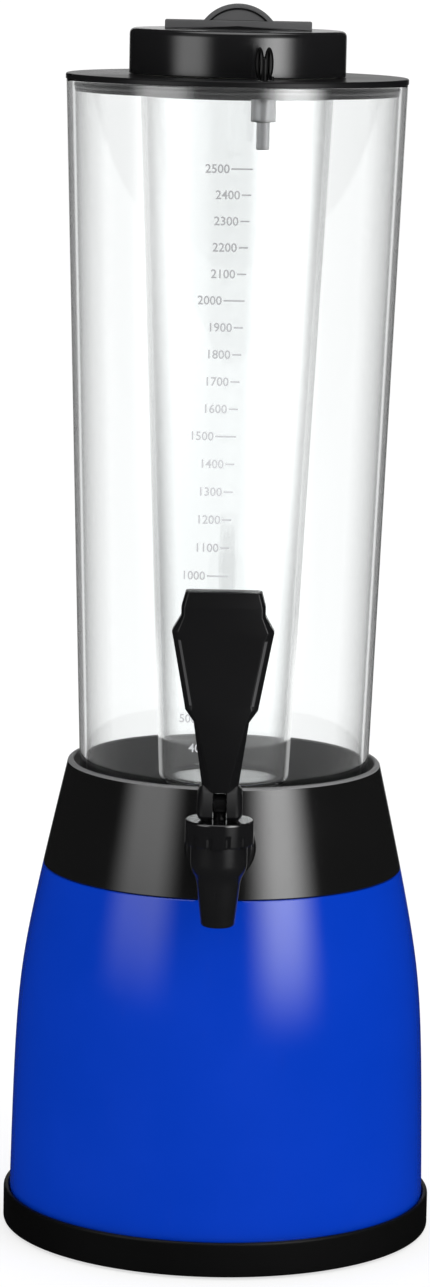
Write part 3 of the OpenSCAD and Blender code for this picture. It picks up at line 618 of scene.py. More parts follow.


# Painted light: the collar's inside above the shelf is a lighter grey that stands in for light reaching it
# through the tank
collar_inside_painted_light = moulded(
    "collar_inside_painted_light", (140, 140, 141), 0.5, spread=0.04, mottle=0.08, grain=700.0, depth=0.1, level=0.4
)
collar_at = face_values(collar, "center")
collar_inside = np.hypot(collar_at[:, 0], collar_at[:, 1]) < side(collar_at[:, 2]) - collar_wall / 2
part_finish(collar, collar_inside_painted_light, collar_inside & (collar_at[:, 2] > shelf_top))
# Painted highlight: a lighter grey band along the rim's top stands in for the light line that the rounded
# rim mirrors
rim_painted_highlight = moulded(
    "rim_painted_highlight", (120, 120, 121), 0.4, spread=0.04, mottle=0.08, grain=700.0, depth=0.08, level=0.4
)
part_finish(collar, rim_painted_highlight, collar_at[:, 2] > collar_hi.z - rim_highlight_band)
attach(collar, "base")
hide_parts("collar")

# Tank gasket
# A flat ring of clear silicone between the collar's shelf and the tank's floor, with rounded
# edges from its die.
gasket_in_r = 43.2 * MM
silicone = moulded("silicone", (206, 206, 200), 0.45, mottle=0.05, grain=700.0, depth=0.2, level=0.4)


def seal_ring(name, node, inner_r, body, round_share=0.3):
    """Soft ring in a node's place: its box's outer radius and heights, an inner radius and round edges."""
    lo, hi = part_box(node)
    outer_r = (hi.x - lo.x) / 2
    middle = np.array([(lo.x + hi.x) / 2, (lo.y + hi.y) / 2, 0])
    edge = round_share * min(hi.z - lo.z, outer_r - inner_r)
    corners = [(inner_r, lo.z), (outer_r, lo.z), (outer_r, hi.z), (inner_r, hi.z)]
    ring = skin(name, spin(soften(corners, edge, closed=True), 160) + middle, loop=True)
    polish(ring, silicone, 40)
    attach(ring, body)
    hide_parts(node)
    return ring


seal_ring("tank_seat_ring", "tank_gasket", gasket_in_r, "base")

# Tank
# The tall tapered beer tank, blown from clear plastic, with a rounded floor and a flat thick pad
# round the hole for the tap. It stands on its gasket, and the tap's nut clamps it to the collar.
tank_lo, tank_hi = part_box("tank")
tank_wall = 2.5 * MM
tank_foot_r = 57.4 * MM
tank_taper = (tank_hi.x - tank_foot_r) / (tank_hi.z - tank_lo.z)
tank_floor = tank_lo.z + 2.5 * MM
tap_pad_r = 13 * MM
tap_pad_round = 0.4 * MM
tap_pad_back = tap_pad_front - 5 * MM


def tank_r(z):
    """Outer radius of the tank at height z, on its straight taper."""
    return tank_foot_r + (z - tank_lo.z) * tank_taper


# The skin of clear mouldings: faint waves from the mould, fine hairlines, and a breath of unevenness
clear_skin, takes, gives = new_skin("clear_skin", "Rough")
where = add(clear_skin, "TexCoord").outputs["Object"]
tall = add(clear_skin, "Mapping", Vector=where, Scale=(60, 60, 9)).outputs[0]
waves = add(clear_skin, "TexNoise", Vector=tall, Scale=1.0, Detail=1.0).outputs["Fac"]
fine = add(clear_skin, "Mapping", Vector=where, Rotation=(0, 0.3, 0.2), Scale=(900, 900, 40)).outputs[0]
hair = add(clear_skin, "TexNoise", Vector=fine, Scale=1.0, Detail=1.0).outputs["Fac"]
scuff = add(clear_skin, "MapRange", Value=hair, From_Min=0.7, From_Max=0.78).outputs["Result"]
tint = add(clear_skin, "MapRange", Value=waves, To_Min=0.994, To_Max=1.0).outputs["Result"]
veil = add(clear_skin, "HueSaturation", Value=tint, Color=takes["Colour"]).outputs[0]
haze = scaled(clear_skin, scuff, 0.05, takes["Rough"])
give(clear_skin, gives, veil, haze, waves)

# Painted shade: how strongly a clear wall's colour darkens as it turns edge-on. The tank's painted grey
# grows towards its outline, then come a painted light line and a painted dark line, standing in for what the
# wall's own thickness shows. Others darken throughout.
tank_edge_shade = (
    (0.36, 0.0), (0.62, 0.75), (0.655, 0.9), (0.675, 0.9),
    (0.7, 0.15), (0.715, 0.15), (0.745, 1.0), (0.87, 1.0),
)
plain_edge_shade = ((0.3, 0.0), (0.7, 1.0))


def clear_moulded(name, colour, rough, depth, edge_shade_tone, edge=plain_edge_shade, deeper=1.0):
    """Clear plastic finish: light goes through, and painted shade darkens the colour where an upright wall
    is seen edge-on, as a stand-in for more plastic in the way; the skin gives faint waves and hairlines.
    With deeper at zero, only the surface that the eye meets first gets the painted shade."""
    finish, shader, surface = skinned(name, clear_skin, depth, distance=0.3 * MM, Rough=rough)
    tree = finish.node_tree
    # Painted shade by facing: the table gives a share, and the colour darkens by it towards the edge tone
    ramp = add(tree, "ValToRGB", Fac=add(tree, "LayerWeight", Blend=0.5).outputs["Facing"])
    for place, share in edge:
        stop = ramp.color_ramp.elements.new(place)
        stop.color = (share, share, share, 1)
    first = add(tree, "LightPath").outputs["Is Camera Ray"]
    counted = add(tree, "Math", first, deeper, operation="MAXIMUM").outputs[0]
    painted_edge_shade = product(tree, ramp.outputs["Color"], counted)
    up = add(tree, "SeparateXYZ", add(tree, "NewGeometry").outputs["Normal"]).outputs["Z"]
    wall_share = add(tree, "Math", 1.0, product(tree, up, up), operation="SUBTRACT").outputs[0]
    walled = product(tree, painted_edge_shade, wall_share)
    shade = add(tree, "MapRange", Value=walled, To_Min=1.0, To_Max=edge_shade_tone).outputs["Result"]
    deep = add(tree, "HueSaturation", Value=shade, Color=tone(*colour)).outputs[0]
    tree.links.new(deep, surface.inputs["Colour"])
    shader.inputs["Transmission Weight"].default_value = 1.0
    shader.inputs["IOR"].default_value = 1.49
    return finish


tank_corners = [
    (0, tank_lo.z), (tank_r(tank_lo.z), tank_lo.z), (tank_hi.x, tank_hi.z),
    (tank_hi.x - tank_wall, tank_hi.z), (tank_r(tank_floor) - tank_wall, tank_floor), (0, tank_floor),
]
tank_rounds = np.array([0, 5, 0.7, 0.7, 2.5, 0]) * MM
tank = skin("clear_tank", spin(soften(tank_corners, tank_rounds, steps=9), 256))
tap_pad = soften(rod(tap_pad_r, -tap_pad_front, -tap_pad_back), tap_pad_round)
carve(tank, skin("tap_pad", along_y(spin(tap_pad, 96), tap_z)), "UNION")
carve(tank, skin("tank_tap_hole", along_y(spin(tap_hole, 96), tap_z)), "DIFFERENCE")
clear_tank = clear_moulded(
    "clear_tank", (254, 255, 255), rough=0.01, depth=0.02, edge_shade_tone=0.15, edge=tank_edge_shade, deeper=0.0
)
polish(tank, clear_tank)
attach(tank, "base")
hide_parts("tank")

# Printed scale
# Millilitre marks screen-printed in grey ink on the tank's front: a figure and a tick every
# hundred, with a longer tick every five hundred. The column leans a little, as the print does.
scale_top = 2500
scale_low = 400
scale_step = 100
scale_top_z = 436.5 * MM
scale_drop = 9.97 * MM
scale_growth = 0.0428 * MM
scale_zero_z = 277.3 * MM
scale_lean = 6.6 * MM / (scale_top_z - scale_zero_z)
scale_aside = 0.8 * MM
tick_long = 8.2 * MM
tick_short = 3.6 * MM
tick_h = 0.6 * MM
ink_t = 0.03 * MM
ink_colour = (150, 151, 153)
ink_pale = 2.2
figure_size = 4.8 * MM
figure_weight = 0.06 * MM
figure_gap = 0.6 * MM


def on_tank(flat):
    """Wraps points (across, up, out) round the tank's front: across is an angle, out adds to the radius."""
    across, up, out = np.moveaxis(flat, -1, 0)
    r = tank_r(up) + out
    turn = across / r
    return np.stack([r * np.sin(turn), -r * np.cos(turn), up], axis=-1)


def figures(text, right, middle):
    """Points and triangles of printed figures that end at right, with their middle at a height."""
    letters = bpy.data.curves.new("figures", "FONT")
    letters.body = text
    letters.size = figure_size
    letters.offset = figure_weight
    letters.align_x = "RIGHT"
    letters.resolution_u = 3
    letters.extrude = ink_t / 2
    sheet = bpy.data.objects.new("figures", letters)
    bpy.context.scene.collection.objects.link(sheet)
    mesh = bpy.data.meshes.new_from_object(sheet.evaluated_get(bpy.context.evaluated_depsgraph_get()))
    mesh.calc_loop_triangles()
    flat = np.empty(len(mesh.vertices) * 3)
    mesh.vertices.foreach_get("co", flat)
    flat = flat.reshape(-1, 3)
    flat += np.array([right, middle - (flat[:, 1].min() + flat[:, 1].max()) / 2, ink_t])
    triangles = np.empty(len(mesh.loop_triangles) * 3, int)
    mesh.loop_triangles.foreach_get("vertices", triangles)
    bpy.data.objects.remove(sheet)
    return flat, triangles.reshape(-1, 3)


def tick(right, middle, length):
    """Points and triangles of a printed tick: a flat bar's outline carried along it, closed at both ends."""
    stations = np.r_[0, np.linspace(0, 1, 9), 1]
    grow = np.r_[0, np.ones(9), 0]
    outline = np.array([(-0.5, 0.5), (0.5, 0.5), (0.5, 1.5), (-0.5, 1.5)])
    across = np.broadcast_to(right - length * stations[:, None], (len(stations), 4))
    up = middle + tick_h * outline[:, 0] * grow[:, None]
    out = ink_t * (1 + (outline[:, 1] - 1) * grow[:, None])
    flat = np.stack([across, up, out], axis=-1).reshape(-1, 3)
    i = np.arange(len(flat)).reshape(len(stations), 4)
    a, b, c, d = i[:-1], np.roll(i, -1, 1)[:-1], np.roll(i, -1, 1)[1:], i[1:]
    halves = [np.stack(corners, -1).reshape(-1, 3) for corners in ((a, b, c), (a, c, d))]
    return flat, np.concatenate(halves)


print_points, print_faces, print_count = [], [], 0
for number, mark in enumerate(range(scale_top, scale_low - 1, -scale_step)):
    mark_z = scale_top_z - scale_drop * number - scale_growth * number ** 2
    mark_right = scale_aside + scale_lean * (mark_z - scale_zero_z)
    mark_tick = tick_short if mark % 500 else tick_long
    for flat, triangles in (
        tick(mark_right, mark_z, mark_tick),
        figures(str(mark), mark_right - mark_tick - figure_gap, mark_z),
    ):
        print_points.append(flat)
        print_faces.append(triangles + print_count)
        print_count += len(flat)
printed = closed_object("printed_scale", on_tank(np.vstack(print_points)), np.vstack(print_faces))
grey_ink = moulded("grey_ink", ink_colour, 0.6, mottle=0.2, grain=3000.0, depth=0.1, level=0.2)
# The print is worn paler towards its lower end
ink_tree = grey_ink.node_tree
ink_z = object_place(ink_tree)["Z"]
ink_worn = add(
    ink_tree, "MapRange", Value=ink_z,
    From_Min=scale_zero_z, From_Max=scale_top_z, To_Min=ink_pale, To_Max=1.0,
).outputs["Result"]
ink_paled = add(ink_tree, "HueSaturation", Value=ink_worn, Color=tone(*ink_colour)).outputs[0]
ink_skin = next(node for node in ink_tree.nodes if node.type == "GROUP")
ink_tree.links.new(ink_paled, ink_skin.inputs["Colour"])
printed.data.materials.append(grey_ink)
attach(printed, "base")

# Tap washers
# A black rubber washer under the tap's flange outside, and a silicone one under the nut inside
# the tank. Both are punched rings with eased edges.
washer_edge = 0.3 * MM
for name, node, finish, slot in (
    ("flange_washer", "tap_washer_outer", black_rubber, "black_rubber"),
    ("nut_washer", "tap_washer_inner", silicone, "silicone"),
):
    lo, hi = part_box(node)
    corners = [(tap_hole_r, lo.y), (hi.x, lo.y), (hi.x, hi.y), (tap_hole_r, hi.y)]
    washer = skin(name, along_y(spin(soften(corners, washer_edge, closed=True), 96), tap_z), loop=True)
    polish(washer, finish, 40)
    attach(washer, "base")
    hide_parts(node)

# Tap body
# The black tap, one moulding: an upright barrel with a tapered spout, a neck, a round flange and
# a threaded shank that goes through collar and tank. Chamber, spout and shank are bored.
tap_lo, tap_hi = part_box("tap_body")
pin_lo, pin_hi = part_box("pivot_pin")
tap_y = (pin_lo.y + pin_hi.y) / 2
barrel_r = 11 * MM
spout_top_r = 8.7 * MM
spout_end_r = 6.5 * MM
spout_shoulder = tap_z - 4.6 * MM
spout_bore_r = 4.4 * MM
chamber_r = 7.6 * MM
flange_t = 3.5 * MM
flange_back = washer_lo.y
tap_neck_r = 7 * MM
shank_r = 8 * MM
shank_bore_r = 4.2 * MM
thread_pitch = 2 * MM
thread_depth = 0.7 * MM


def at_tap(grid):
    """The grid moved to the tap's upright axis."""
    return grid + np.array([0, tap_y, 0])


def threaded(radius, pitch, depth, start, end, turns=96):
    """Screw thread: the radius falls by depth and rises again once a pitch, a pitch further on each turn."""
    a = bearings(turns)[:, None]
    rows = 10
    flank = 1.6
    root = 0.3
    z = np.linspace(start, end, int((end - start) / pitch * rows))
    wave = np.abs(2 * ((z / pitch - a / (2 * np.pi)) % 1) - 1)
    ease = np.clip(np.minimum(z - start, end - z) / pitch, 0, 1)
    r = radius - depth * (1 - np.clip(flank * wave - root, 0, 1) * ease)
    ends = polar(0, a, np.array([start, end]))
    return np.concatenate([ends[:, :1], polar(r, a, z), ends[:, 1:]], axis=1)


spout_corners = [
    (0, tap_lo.z), (spout_end_r, tap_lo.z), (spout_top_r, spout_shoulder - 2 * MM),
    (barrel_r, spout_shoulder + 2 * MM), (barrel_r, tap_hi.z), (0, tap_hi.z),
]
spout_rounds = np.array([0, 1.4, 2.2, 2.2, 0.5, 0]) * MM
tap = skin("tap_body_moulding", at_tap(spin(soften(spout_corners, spout_rounds, 8), 128)))
tap_neck = rod(tap_neck_r, tap_y, flange_back - overlap)
carve(tap, skin("tap_neck", along_y(spin(tap_neck, 96), tap_z)), "UNION")
flange_rounds = np.array([0, 1.2, 0.3, 0]) * MM
flange = soften(rod(tap_hi.x, flange_back - flange_t, flange_back), flange_rounds)
carve(tap, skin("tap_flange", along_y(spin(flange, 128), tap_z)), "UNION")
shank = threaded(shank_r, thread_pitch, thread_depth, flange_back - overlap, tap_hi.y)
carve(tap, skin("tap_shank", along_y(shank, tap_z)), "UNION")
chamber = rod(chamber_r, spout_shoulder, tap_hi.z + overlap)
carve(tap, skin("chamber", at_tap(spin(chamber, 96))), "DIFFERENCE")
spout_bore = rod(spout_bore_r, tap_lo.z - overlap, tap_z)
carve(tap, skin("spout_bore", at_tap(spin(spout_bore, 96))), "DIFFERENCE")
shank_bore = rod(shank_bore_r, tap_y, tap_hi.y + overlap)
carve(tap, skin("shank_bore", along_y(spin(shank_bore, 64), tap_z)), "DIFFERENCE")
tap_black = moulded("tap_black", (20, 20, 21), 0.24, spread=0.04, mottle=0.1, grain=800.0, depth=0.12)
polish(tap, tap_black)
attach(tap, "base")
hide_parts("tap_body")

# Tap nut
# The black hexagon nut inside the tank, moulded with chamfered corners, that draws the tap's
# flange against the collar.
nut_half = (nut_hi.z - nut_lo.z) / 2
nut_chamfer = 0.8 * MM


def hexagon(across, start, end, chamfer, bore, turns=240):
    """Six-sided nut: its radius is the lesser of the hexagon's, which repeats every 60 degrees, and that of
    a chamfer cone, which ends just past the corners."""
    a = bearings(turns)[:, None]
    flat = across / np.cos((a + np.pi / 6) % (np.pi / 3) - np.pi / 6)
    past = 1.16 * across
    z = np.array([start, start, start + chamfer, end - chamfer, end, end, end, start])
    limit = np.array([bore, across, past, past, across, bore, bore, bore])
    return polar(np.minimum(flat, limit), a, z)


nut_grid = hexagon(nut_half, nut_lo.y, nut_hi.y, nut_chamfer, tap_hole_r)
nut = skin("tank_nut", along_y(nut_grid, tap_z), loop=True)
polish(nut, tap_black)
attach(nut, "base")
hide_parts("tap_nut")

# Tap bonnet
# The black screw ring on top of the tap's barrel, with narrow grip flutes round its skirt and a
# flat top that the handle's cam runs on.
bonnet_lo, bonnet_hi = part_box("tap_bonnet")
bonnet_r = bonnet_hi.x - 0.002 * MM
bonnet_in_r = 11.1 * MM
bonnet_under = bonnet_hi.z - 2.8 * MM
bonnet_hole_r = 2.8 * MM
flute_count = 12
flute_w = 0.16
flute_depth = 0.8 * MM
flute_top = bonnet_lo.z + 5 * MM
flute_fade = 1.2 * MM
flute_from = bonnet_r - 0.5 * MM
bonnet_rows = 40
bonnet_turns = 384

bonnet_corners = [
    (bonnet_in_r, bonnet_lo.z), (bonnet_r, bonnet_lo.z), (bonnet_r, bonnet_hi.z),
    (bonnet_hole_r, bonnet_hi.z), (bonnet_hole_r, bonnet_under), (bonnet_in_r, bonnet_under),
]
bonnet_rounds = np.array([0.2, 0.4, 0.8, 0.2, 0.1, 0.1]) * MM
bonnet_profile = soften(bonnet_corners, bonnet_rounds, closed=True)
# The upright side gets rows enough for the flutes
rising = np.flatnonzero(np.abs(bonnet_profile[:, 0] - bonnet_r) < 1e-6)
side_z = np.linspace(*bonnet_profile[rising[[0, -1]], 1], bonnet_rows)
bonnet_side = np.stack([np.full(bonnet_rows, bonnet_r), side_z], axis=1)
bonnet_profile = np.vstack([bonnet_profile[:rising[0]], bonnet_side, bonnet_profile[rising[-1] + 1:]])
bonnet_grid = spin(bonnet_profile, bonnet_turns)
# A flute bites in over a short part of each twelfth of the way round and dies out at its top
from_flute = (bearings(bonnet_turns)[:, None] * flute_count / (2 * np.pi)) % 1 - 0.5
bite = np.clip(1 - (from_flute / flute_w) ** 2, 0, 1) ** 0.5
height_in = np.clip((flute_top - bonnet_grid[..., 2]) / flute_fade, 0, 1)
outside = bonnet_profile[:, 0] > flute_from
shrink = 1 - flute_depth / bonnet_r * bite * height_in * outside
bonnet_grid[..., :2] *= shrink[..., None]
bonnet = skin("tap_screw_ring", at_tap(bonnet_grid), loop=True)
bonnet_black = moulded(
    "bonnet_black", (20, 20, 21), 0.06, spread=0.02, mottle=0.08, grain=500.0, depth=0.02, level=0.8
)
polish(bonnet, bonnet_black)
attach(bonnet, "base")
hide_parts("tap_bonnet")

# Tap spring
# A coil of stainless wire between the seat cup and the bonnet, with closed, ground ends. It is
# squeezed as the stem lifts.
spring_lo, spring_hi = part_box("tap_spring")
wire_r = 0.45 * MM
coil_r = 4.6 * MM
coil_turns = 5
coil_steps = 48
coil_ease = 0.55
wire_sides = 10
ring_around = bearings(wire_sides)[:, None]
t = np.linspace(0, 1, coil_turns * coil_steps + 1)
# The pitch eases out towards both ends, which lie almost flat
rise = t - coil_ease * np.sin(2 * np.pi * t) / (2 * np.pi)
spring_length = spring_hi.z - spring_lo.z
coil_z = spring_lo.z + wire_r + (spring_length - 2 * wire_r) * rise
turn = 2 * np.pi * coil_turns * t
fat = wire_r * np.r_[0, np.ones(len(t) - 2), 0]
wire_reach = coil_r + fat * np.cos(ring_around)
coil = polar(wire_reach, turn, coil_z + fat * np.sin(ring_around))
spring = skin("tap_coil_spring", at_tap(coil))
spring_steel = drawn_steel("spring_steel", (178, 182, 186), 0.18)
polish(spring, spring_steel, 80)
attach(spring, "base")
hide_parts("tap_spring")
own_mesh(spring)

# Valve stem, seat cup and pivot pin
# The stem carries a soft silicone cup that closes the spout, and ends above the bonnet in an eye.
# A steel pin through the eye is the handle's pivot.
stem_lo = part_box("valve_stem")[0]
cup_lo, cup_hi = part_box("seat_cup")
pin_z = (pin_lo.z + pin_hi.z) / 2
stem_r = 2.5 * MM
eye_r = 4 * MM
eye_edge = 0.4 * MM
button_r = 4 * MM
button_top = stem_lo.z + 2 * MM
pin_r = 1.5 * MM
pin_edge = 0.3 * MM
pin_play = 0.1 * MM
pin_hole_half = 10 * MM
cup_r = 6.3 * MM
plug_r = 4.1 * MM
cup_seat = cup_lo.z + 2.05 * MM
cup_play = 0.1 * MM


def slab(outline, half, edge, steps=5):
    """Plate of a closed outline (u, v) with thickness along w: the outline draws in along its normals, by
    a quarter circle, towards both faces, and each face closes on its middle."""
    outline = np.asarray(outline, float)
    along = np.roll(outline, -1, 0) - np.roll(outline, 1, 0)
    normal = np.stack([along[:, 1], -along[:, 0]], axis=1)
    normal /= np.maximum(np.linalg.norm(normal, axis=1, keepdims=True), 1e-12)
    area = np.sum(outline[:, 0] * np.roll(outline[:, 1], -1) - outline[:, 1] * np.roll(outline[:, 0], -1))
    normal *= np.sign(area)
    a = np.r_[np.linspace(-np.pi / 2, 0, steps), np.linspace(0, np.pi / 2, steps)]
    inset = edge * (1 - np.cos(a))
    w = np.sign(a + np.r_[-np.ones(steps), np.ones(steps)] * 1e-9) * (half - edge) + edge * np.sin(a)
    rings = outline[:, None] - normal[:, None] * inset[None, :, None]
    plate = np.concatenate([rings, np.broadcast_to(w[None, :, None], rings.shape[:2] + (1,))], axis=2)
    middle = outline.mean(axis=0)
    faces = np.array([[*middle, -half], [*middle, half]])
    caps = np.broadcast_to(faces[None], (len(outline), 2, 3))
    return np.concatenate([caps[:, :1], plate, caps[:, 1:]], axis=1)


def across_x(grid):
    """The grid with its thickness along X and its outline in Y and Z."""
    return grid[..., [2, 0, 1]]


def circle(radius, count=64):
    """Outline of a circle."""
    return polar(radius, bearings(count), 0)[:, :2]


def at_pin(grid):
    """The grid moved to the middle of the pin."""
    return grid + np.array([0, tap_y, pin_z])


stem_corners = [
    (0, stem_lo.z), (button_r, stem_lo.z), (button_r, button_top),
    (stem_r, button_top), (stem_r, pin_z), (0, pin_z),
]
stem_rounds = np.array([0, 0.3, 0.3, 0.2, 0, 0]) * MM
stem = skin("tap_stem", at_tap(spin(soften(stem_corners, stem_rounds), 64)))
stem_eye = at_pin(across_x(slab(circle(eye_r), stem_r, eye_edge)))
carve(stem, skin("stem_eye", stem_eye), "UNION")
pin_hole = at_pin(across_x(slab(circle(pin_r + pin_play), pin_hole_half, 0)))
carve(stem, skin("eye_hole", pin_hole), "DIFFERENCE")
polish(stem, tap_black)
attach(stem, "valve_stem")
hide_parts("valve_stem")

cup_corners = [
    (0, cup_lo.z), (plug_r / 2, cup_lo.z), (plug_r, cup_seat), (cup_r, cup_seat),
    (cup_r, cup_seat + 2 * MM), (cup_r - MM, cup_hi.z), (stem_r + cup_play, cup_hi.z),
    (stem_r + cup_play, button_top + cup_play), (button_r + cup_play, button_top + cup_play),
    (button_r + cup_play, stem_lo.z), (0, stem_lo.z),
]
cup_rounds = np.array([0, 0.6, 0.3, 0.4, 0.6, 0.5, 0.2, 0.1, 0.1, 0.1, 0]) * MM
cup = skin("seat_cup_moulding", at_tap(spin(soften(cup_corners, cup_rounds), 96)))
polish(cup, silicone)
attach(cup, "valve_stem")
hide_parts("seat_cup")

pin = skin("handle_pin", at_pin(across_x(slab(circle(pin_r), pin_hi.x, pin_edge))))
polish(pin, spring_steel)
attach(pin, "valve_stem")
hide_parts("pivot_pin")

# Tap handle
# The black paddle with bevelled sides and a faceted neck that ends in two cam ears on the pin.
# One glossy moulding: tipping it forward rolls the cam on the bonnet and lifts the stem.
handle_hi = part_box("tap_handle")[1]
cam_r = 5.6 * MM
cam_lift = 4 * MM
cam_tilt = math.radians(45)
cam_rate = cam_lift / cam_tilt
cam_steps = 16
slot_half = 2.8 * MM
slot_top = 5.2 * MM
ear_top = 7.7 * MM
ear_w = 6 * MM
ear_round = 2.8 * MM
half_t = 6 * MM
side_half_t = 3.6 * MM
crown_mid = 77.3 * MM
crown_low = 73.8 * MM
shoulder = 67.7 * MM
paddle_low = 37.4 * MM
neck_high = 32.7 * MM
handle_top = handle_hi.z - pin_z
bevel_w = 1.6 * MM
bevel_t = 5.0 * MM
strip_w = 1.7 * MM
strip_low = paddle_low + 2 * MM
strip_low_w = 14.4 * MM
strip_high = shoulder - 3 * MM
strip_high_w = 19.1 * MM
strip_side_t = side_half_t - 0.4 * MM
strip_slope = 0.505
strip_slack = 0.05
strip_front = 0.8
handle_edge = 0.4 * MM


def handle_ring(z, half_w, facet, side_t=side_half_t, depth=half_t, bevel=None):
    """Cross-section of the handle at height z: side face, outer bevel, inner strip and front facet, and a
    plain back. Without a bevel, the strip lies in line with the outer bevel."""
    share = 0.5
    ledge = half_w - share * (half_w - facet)
    ledge_t = side_t + share * (depth - side_t)
    if bevel:
        ledge, ledge_t = half_w - bevel[0], bevel[1]
    x = np.array([half_w, half_w, ledge, facet, -facet, -ledge, -half_w, -half_w, -facet, facet])
    y = np.array([-side_t, side_t, ledge_t, depth, depth, ledge_t, side_t, -side_t, -depth, -depth])
    return np.stack([x, -y, np.full(10, z)], axis=1)


strip = (bevel_w, bevel_t)
rings = np.stack([
    handle_ring(slot_top, half_w=6.78 * MM, facet=3.1 * MM, side_t=1.88 * MM, depth=cam_r),
    handle_ring(neck_high, half_w=10.7 * MM, facet=9.5 * MM),
    handle_ring(paddle_low, half_w=14.05 * MM, facet=11.65 * MM),
    handle_ring(strip_low, strip_low_w, strip_low_w - bevel_w - strip_w, strip_side_t, bevel=strip),
    handle_ring(strip_high, strip_high_w, strip_high_w - bevel_w - strip_w, strip_side_t, bevel=strip),
    handle_ring(shoulder, half_w=19.7 * MM, facet=17.3 * MM),
    handle_ring(crown_low, half_w=16.2 * MM, facet=15.0 * MM),
    handle_ring(crown_mid, half_w=16.2 * MM, facet=15.0 * MM),
    handle_ring(handle_top, half_w=14.65 * MM, facet=13.4 * MM, depth=4.8 * MM),
])
ends = np.broadcast_to(rings[[0, -1]].mean(axis=1, keepdims=True), (2, 10, 3))
paddle = np.concatenate([ends[:1], rings, ends[1:]]).swapaxes(0, 1)
handle = skin("tap_paddle_handle", at_pin(paddle))
edges = handle.modifiers.new("eased_edges", "BEVEL")
edges.width = handle_edge
edges.segments = 3
edges.limit_method = "ANGLE"
edges.angle_limit = math.radians(9)


def cam_points(turn, radius, rate):
    """Points of the cam that touch the bonnet at a tilt: the radius along the normal, the rate across it."""
    return np.stack([
        -radius * np.sin(turn) - rate * np.cos(turn), -radius * np.cos(turn) + rate * np.sin(turn)
    ], axis=1)


tilt = np.linspace(0, cam_tilt, cam_steps)
ear_roof = [(-cam_r, slot_top), (-cam_r / 2, ear_top), (cam_r / 2, ear_top), (cam_r, slot_top)]
ear_outline = np.vstack([
    cam_points(np.linspace(-np.pi / 2, 0, cam_steps), cam_r, 0),
    cam_points(tilt, cam_r + cam_rate * tilt, cam_rate),
    ear_roof,
])


def cam_ear(way):
    """Ear on one side of the slot: the cam's outline shrinks towards the pin, round a quarter circle, near
    the outer face, and both faces close on the pin's axis."""
    a = np.linspace(0, np.pi / 2, 10)
    outer = slot_half + ear_w
    x = np.r_[outer, outer - ear_round * (1 - np.cos(a)), slot_half, slot_half]
    share = np.r_[0, 1 - ear_round * (1 - np.sin(a)) / cam_r, 1, 0]
    grid = np.empty((len(ear_outline), len(x), 3))
    grid[..., 0] = way * x
    grid[..., 1:] = ear_outline[:, None] * share[:, None]
    return at_pin(grid)


carve(handle, skin("cam_ears", cam_ear(-1), cam_ear(1)), "UNION")
carve(handle, skin("pin_hole", pin_hole), "DIFFERENCE")
handle_black = moulded(
    "handle_black", (17, 17, 18), 0.3, mottle=0.08, grain=600.0, depth=0.06, level=0.22
)
polish(handle, handle_black)
# Painted highlight for the handle's bevel strips
strip_painted_highlight = moulded("strip_painted_highlight", (62, 62, 63), 0.4, spread=0.04, mottle=0.1, depth=0.08, level=0.3)
# Painted highlight: the strips, the front's faces that lean to the side by their own slope, are a lighter
# grey for the light their bevels catch
handle_up = face_values(handle, "center")[:, 2] - pin_z
handle_faces = face_values(handle, "normal")
handle_painted_strips = np.abs(np.abs(handle_faces[:, 0]) - strip_slope) < strip_slack
handle_painted_strips &= handle_faces[:, 1] < -strip_front
handle_painted_strips &= (handle_up > strip_low) & (handle_up < strip_high)
part_finish(handle, strip_painted_highlight, handle_painted_strips)
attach(handle, "tap_handle")
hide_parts("tap_handle")

# Lid
# The black lid that plugs the tank's mouth with a skirt, with a round hole and guide ring for
# the ice tube, a hole for the vent and a small stop nub beside it.
seal_lo, seal_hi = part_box("lid_seal")
vent_lo, vent_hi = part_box("vent_body")
vent_x = (vent_lo.x + vent_hi.x) / 2
vent_y = (vent_lo.y + vent_hi.y) / 2
lid_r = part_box("lid")[1].x
lid_top = 470 * MM
lid_under = tank_hi.z
skirt_r = 64.747 * MM
skirt_in_r = skirt_r - 2 * MM
skirt_low = lid_under - 4.5 * MM
groove_r = skirt_r - 0.7 * MM
lid_hole_r = 39.15 * MM
guide_r = lid_hole_r + 1.8 * MM
guide_low = lid_under - 6 * MM
spigot_r = 3.3 * MM
spigot_play = 0.1 * MM
nub_r = 0.9 * MM
nub_h = 1.6 * MM
nub_bearing = math.radians(55)
nub_reach = 5.315 * MM

lid_corners = [
    (lid_hole_r, lid_top), (lid_r, lid_top), (lid_r, lid_under), (skirt_r, lid_under),
    (skirt_r, seal_hi.z), (groove_r, seal_hi.z), (groove_r, seal_lo.z), (skirt_r, seal_lo.z),
    (skirt_r, skirt_low), (skirt_in_r, skirt_low), (skirt_in_r, lid_under), (guide_r, lid_under),
    (guide_r, guide_low), (lid_hole_r, guide_low),
]
lid_rounds = np.array([0.3, 0.8, 0.3, 0.1, 0.1, 0.05, 0.05, 0.1, 0.4, 0.4, 0.4, 0.4, 0.3, 0.3]) * MM
lid = skin("tank_lid", spin(soften(lid_corners, lid_rounds, closed=True), 256), loop=True)
vent_axis = np.array([vent_x, vent_y, 0])
vent_hole = rod(spigot_r + spigot_play, skirt_low, lid_top + overlap)
carve(lid, skin("vent_hole", spin(vent_hole, 64) + vent_axis), "DIFFERENCE")
nub_corners = rod(nub_r, lid_under + overlap, lid_top + nub_h)
nub_place = vent_axis + polar(nub_reach, nub_bearing, 0)
nub = spin(soften(nub_corners, np.array([0, 0, 0.6, 0]) * MM), 32) + nub_place
carve(lid, skin("stop_nub", nub), "UNION")
lid_black = moulded("lid_black", (20, 20, 21), 0.3, spread=0.04, mottle=0.1, level=0.12)
polish(lid, lid_black)
skirt_gloss = moulded(
    "skirt_gloss", (14, 14, 15), 0.12, spread=0.02, mottle=0.08, grain=600.0, depth=0.04, level=0.22
)
part_finish(lid, skirt_gloss, face_values(lid, "center")[:, 2] < lid_under)
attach(lid, "lid")
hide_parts("lid")

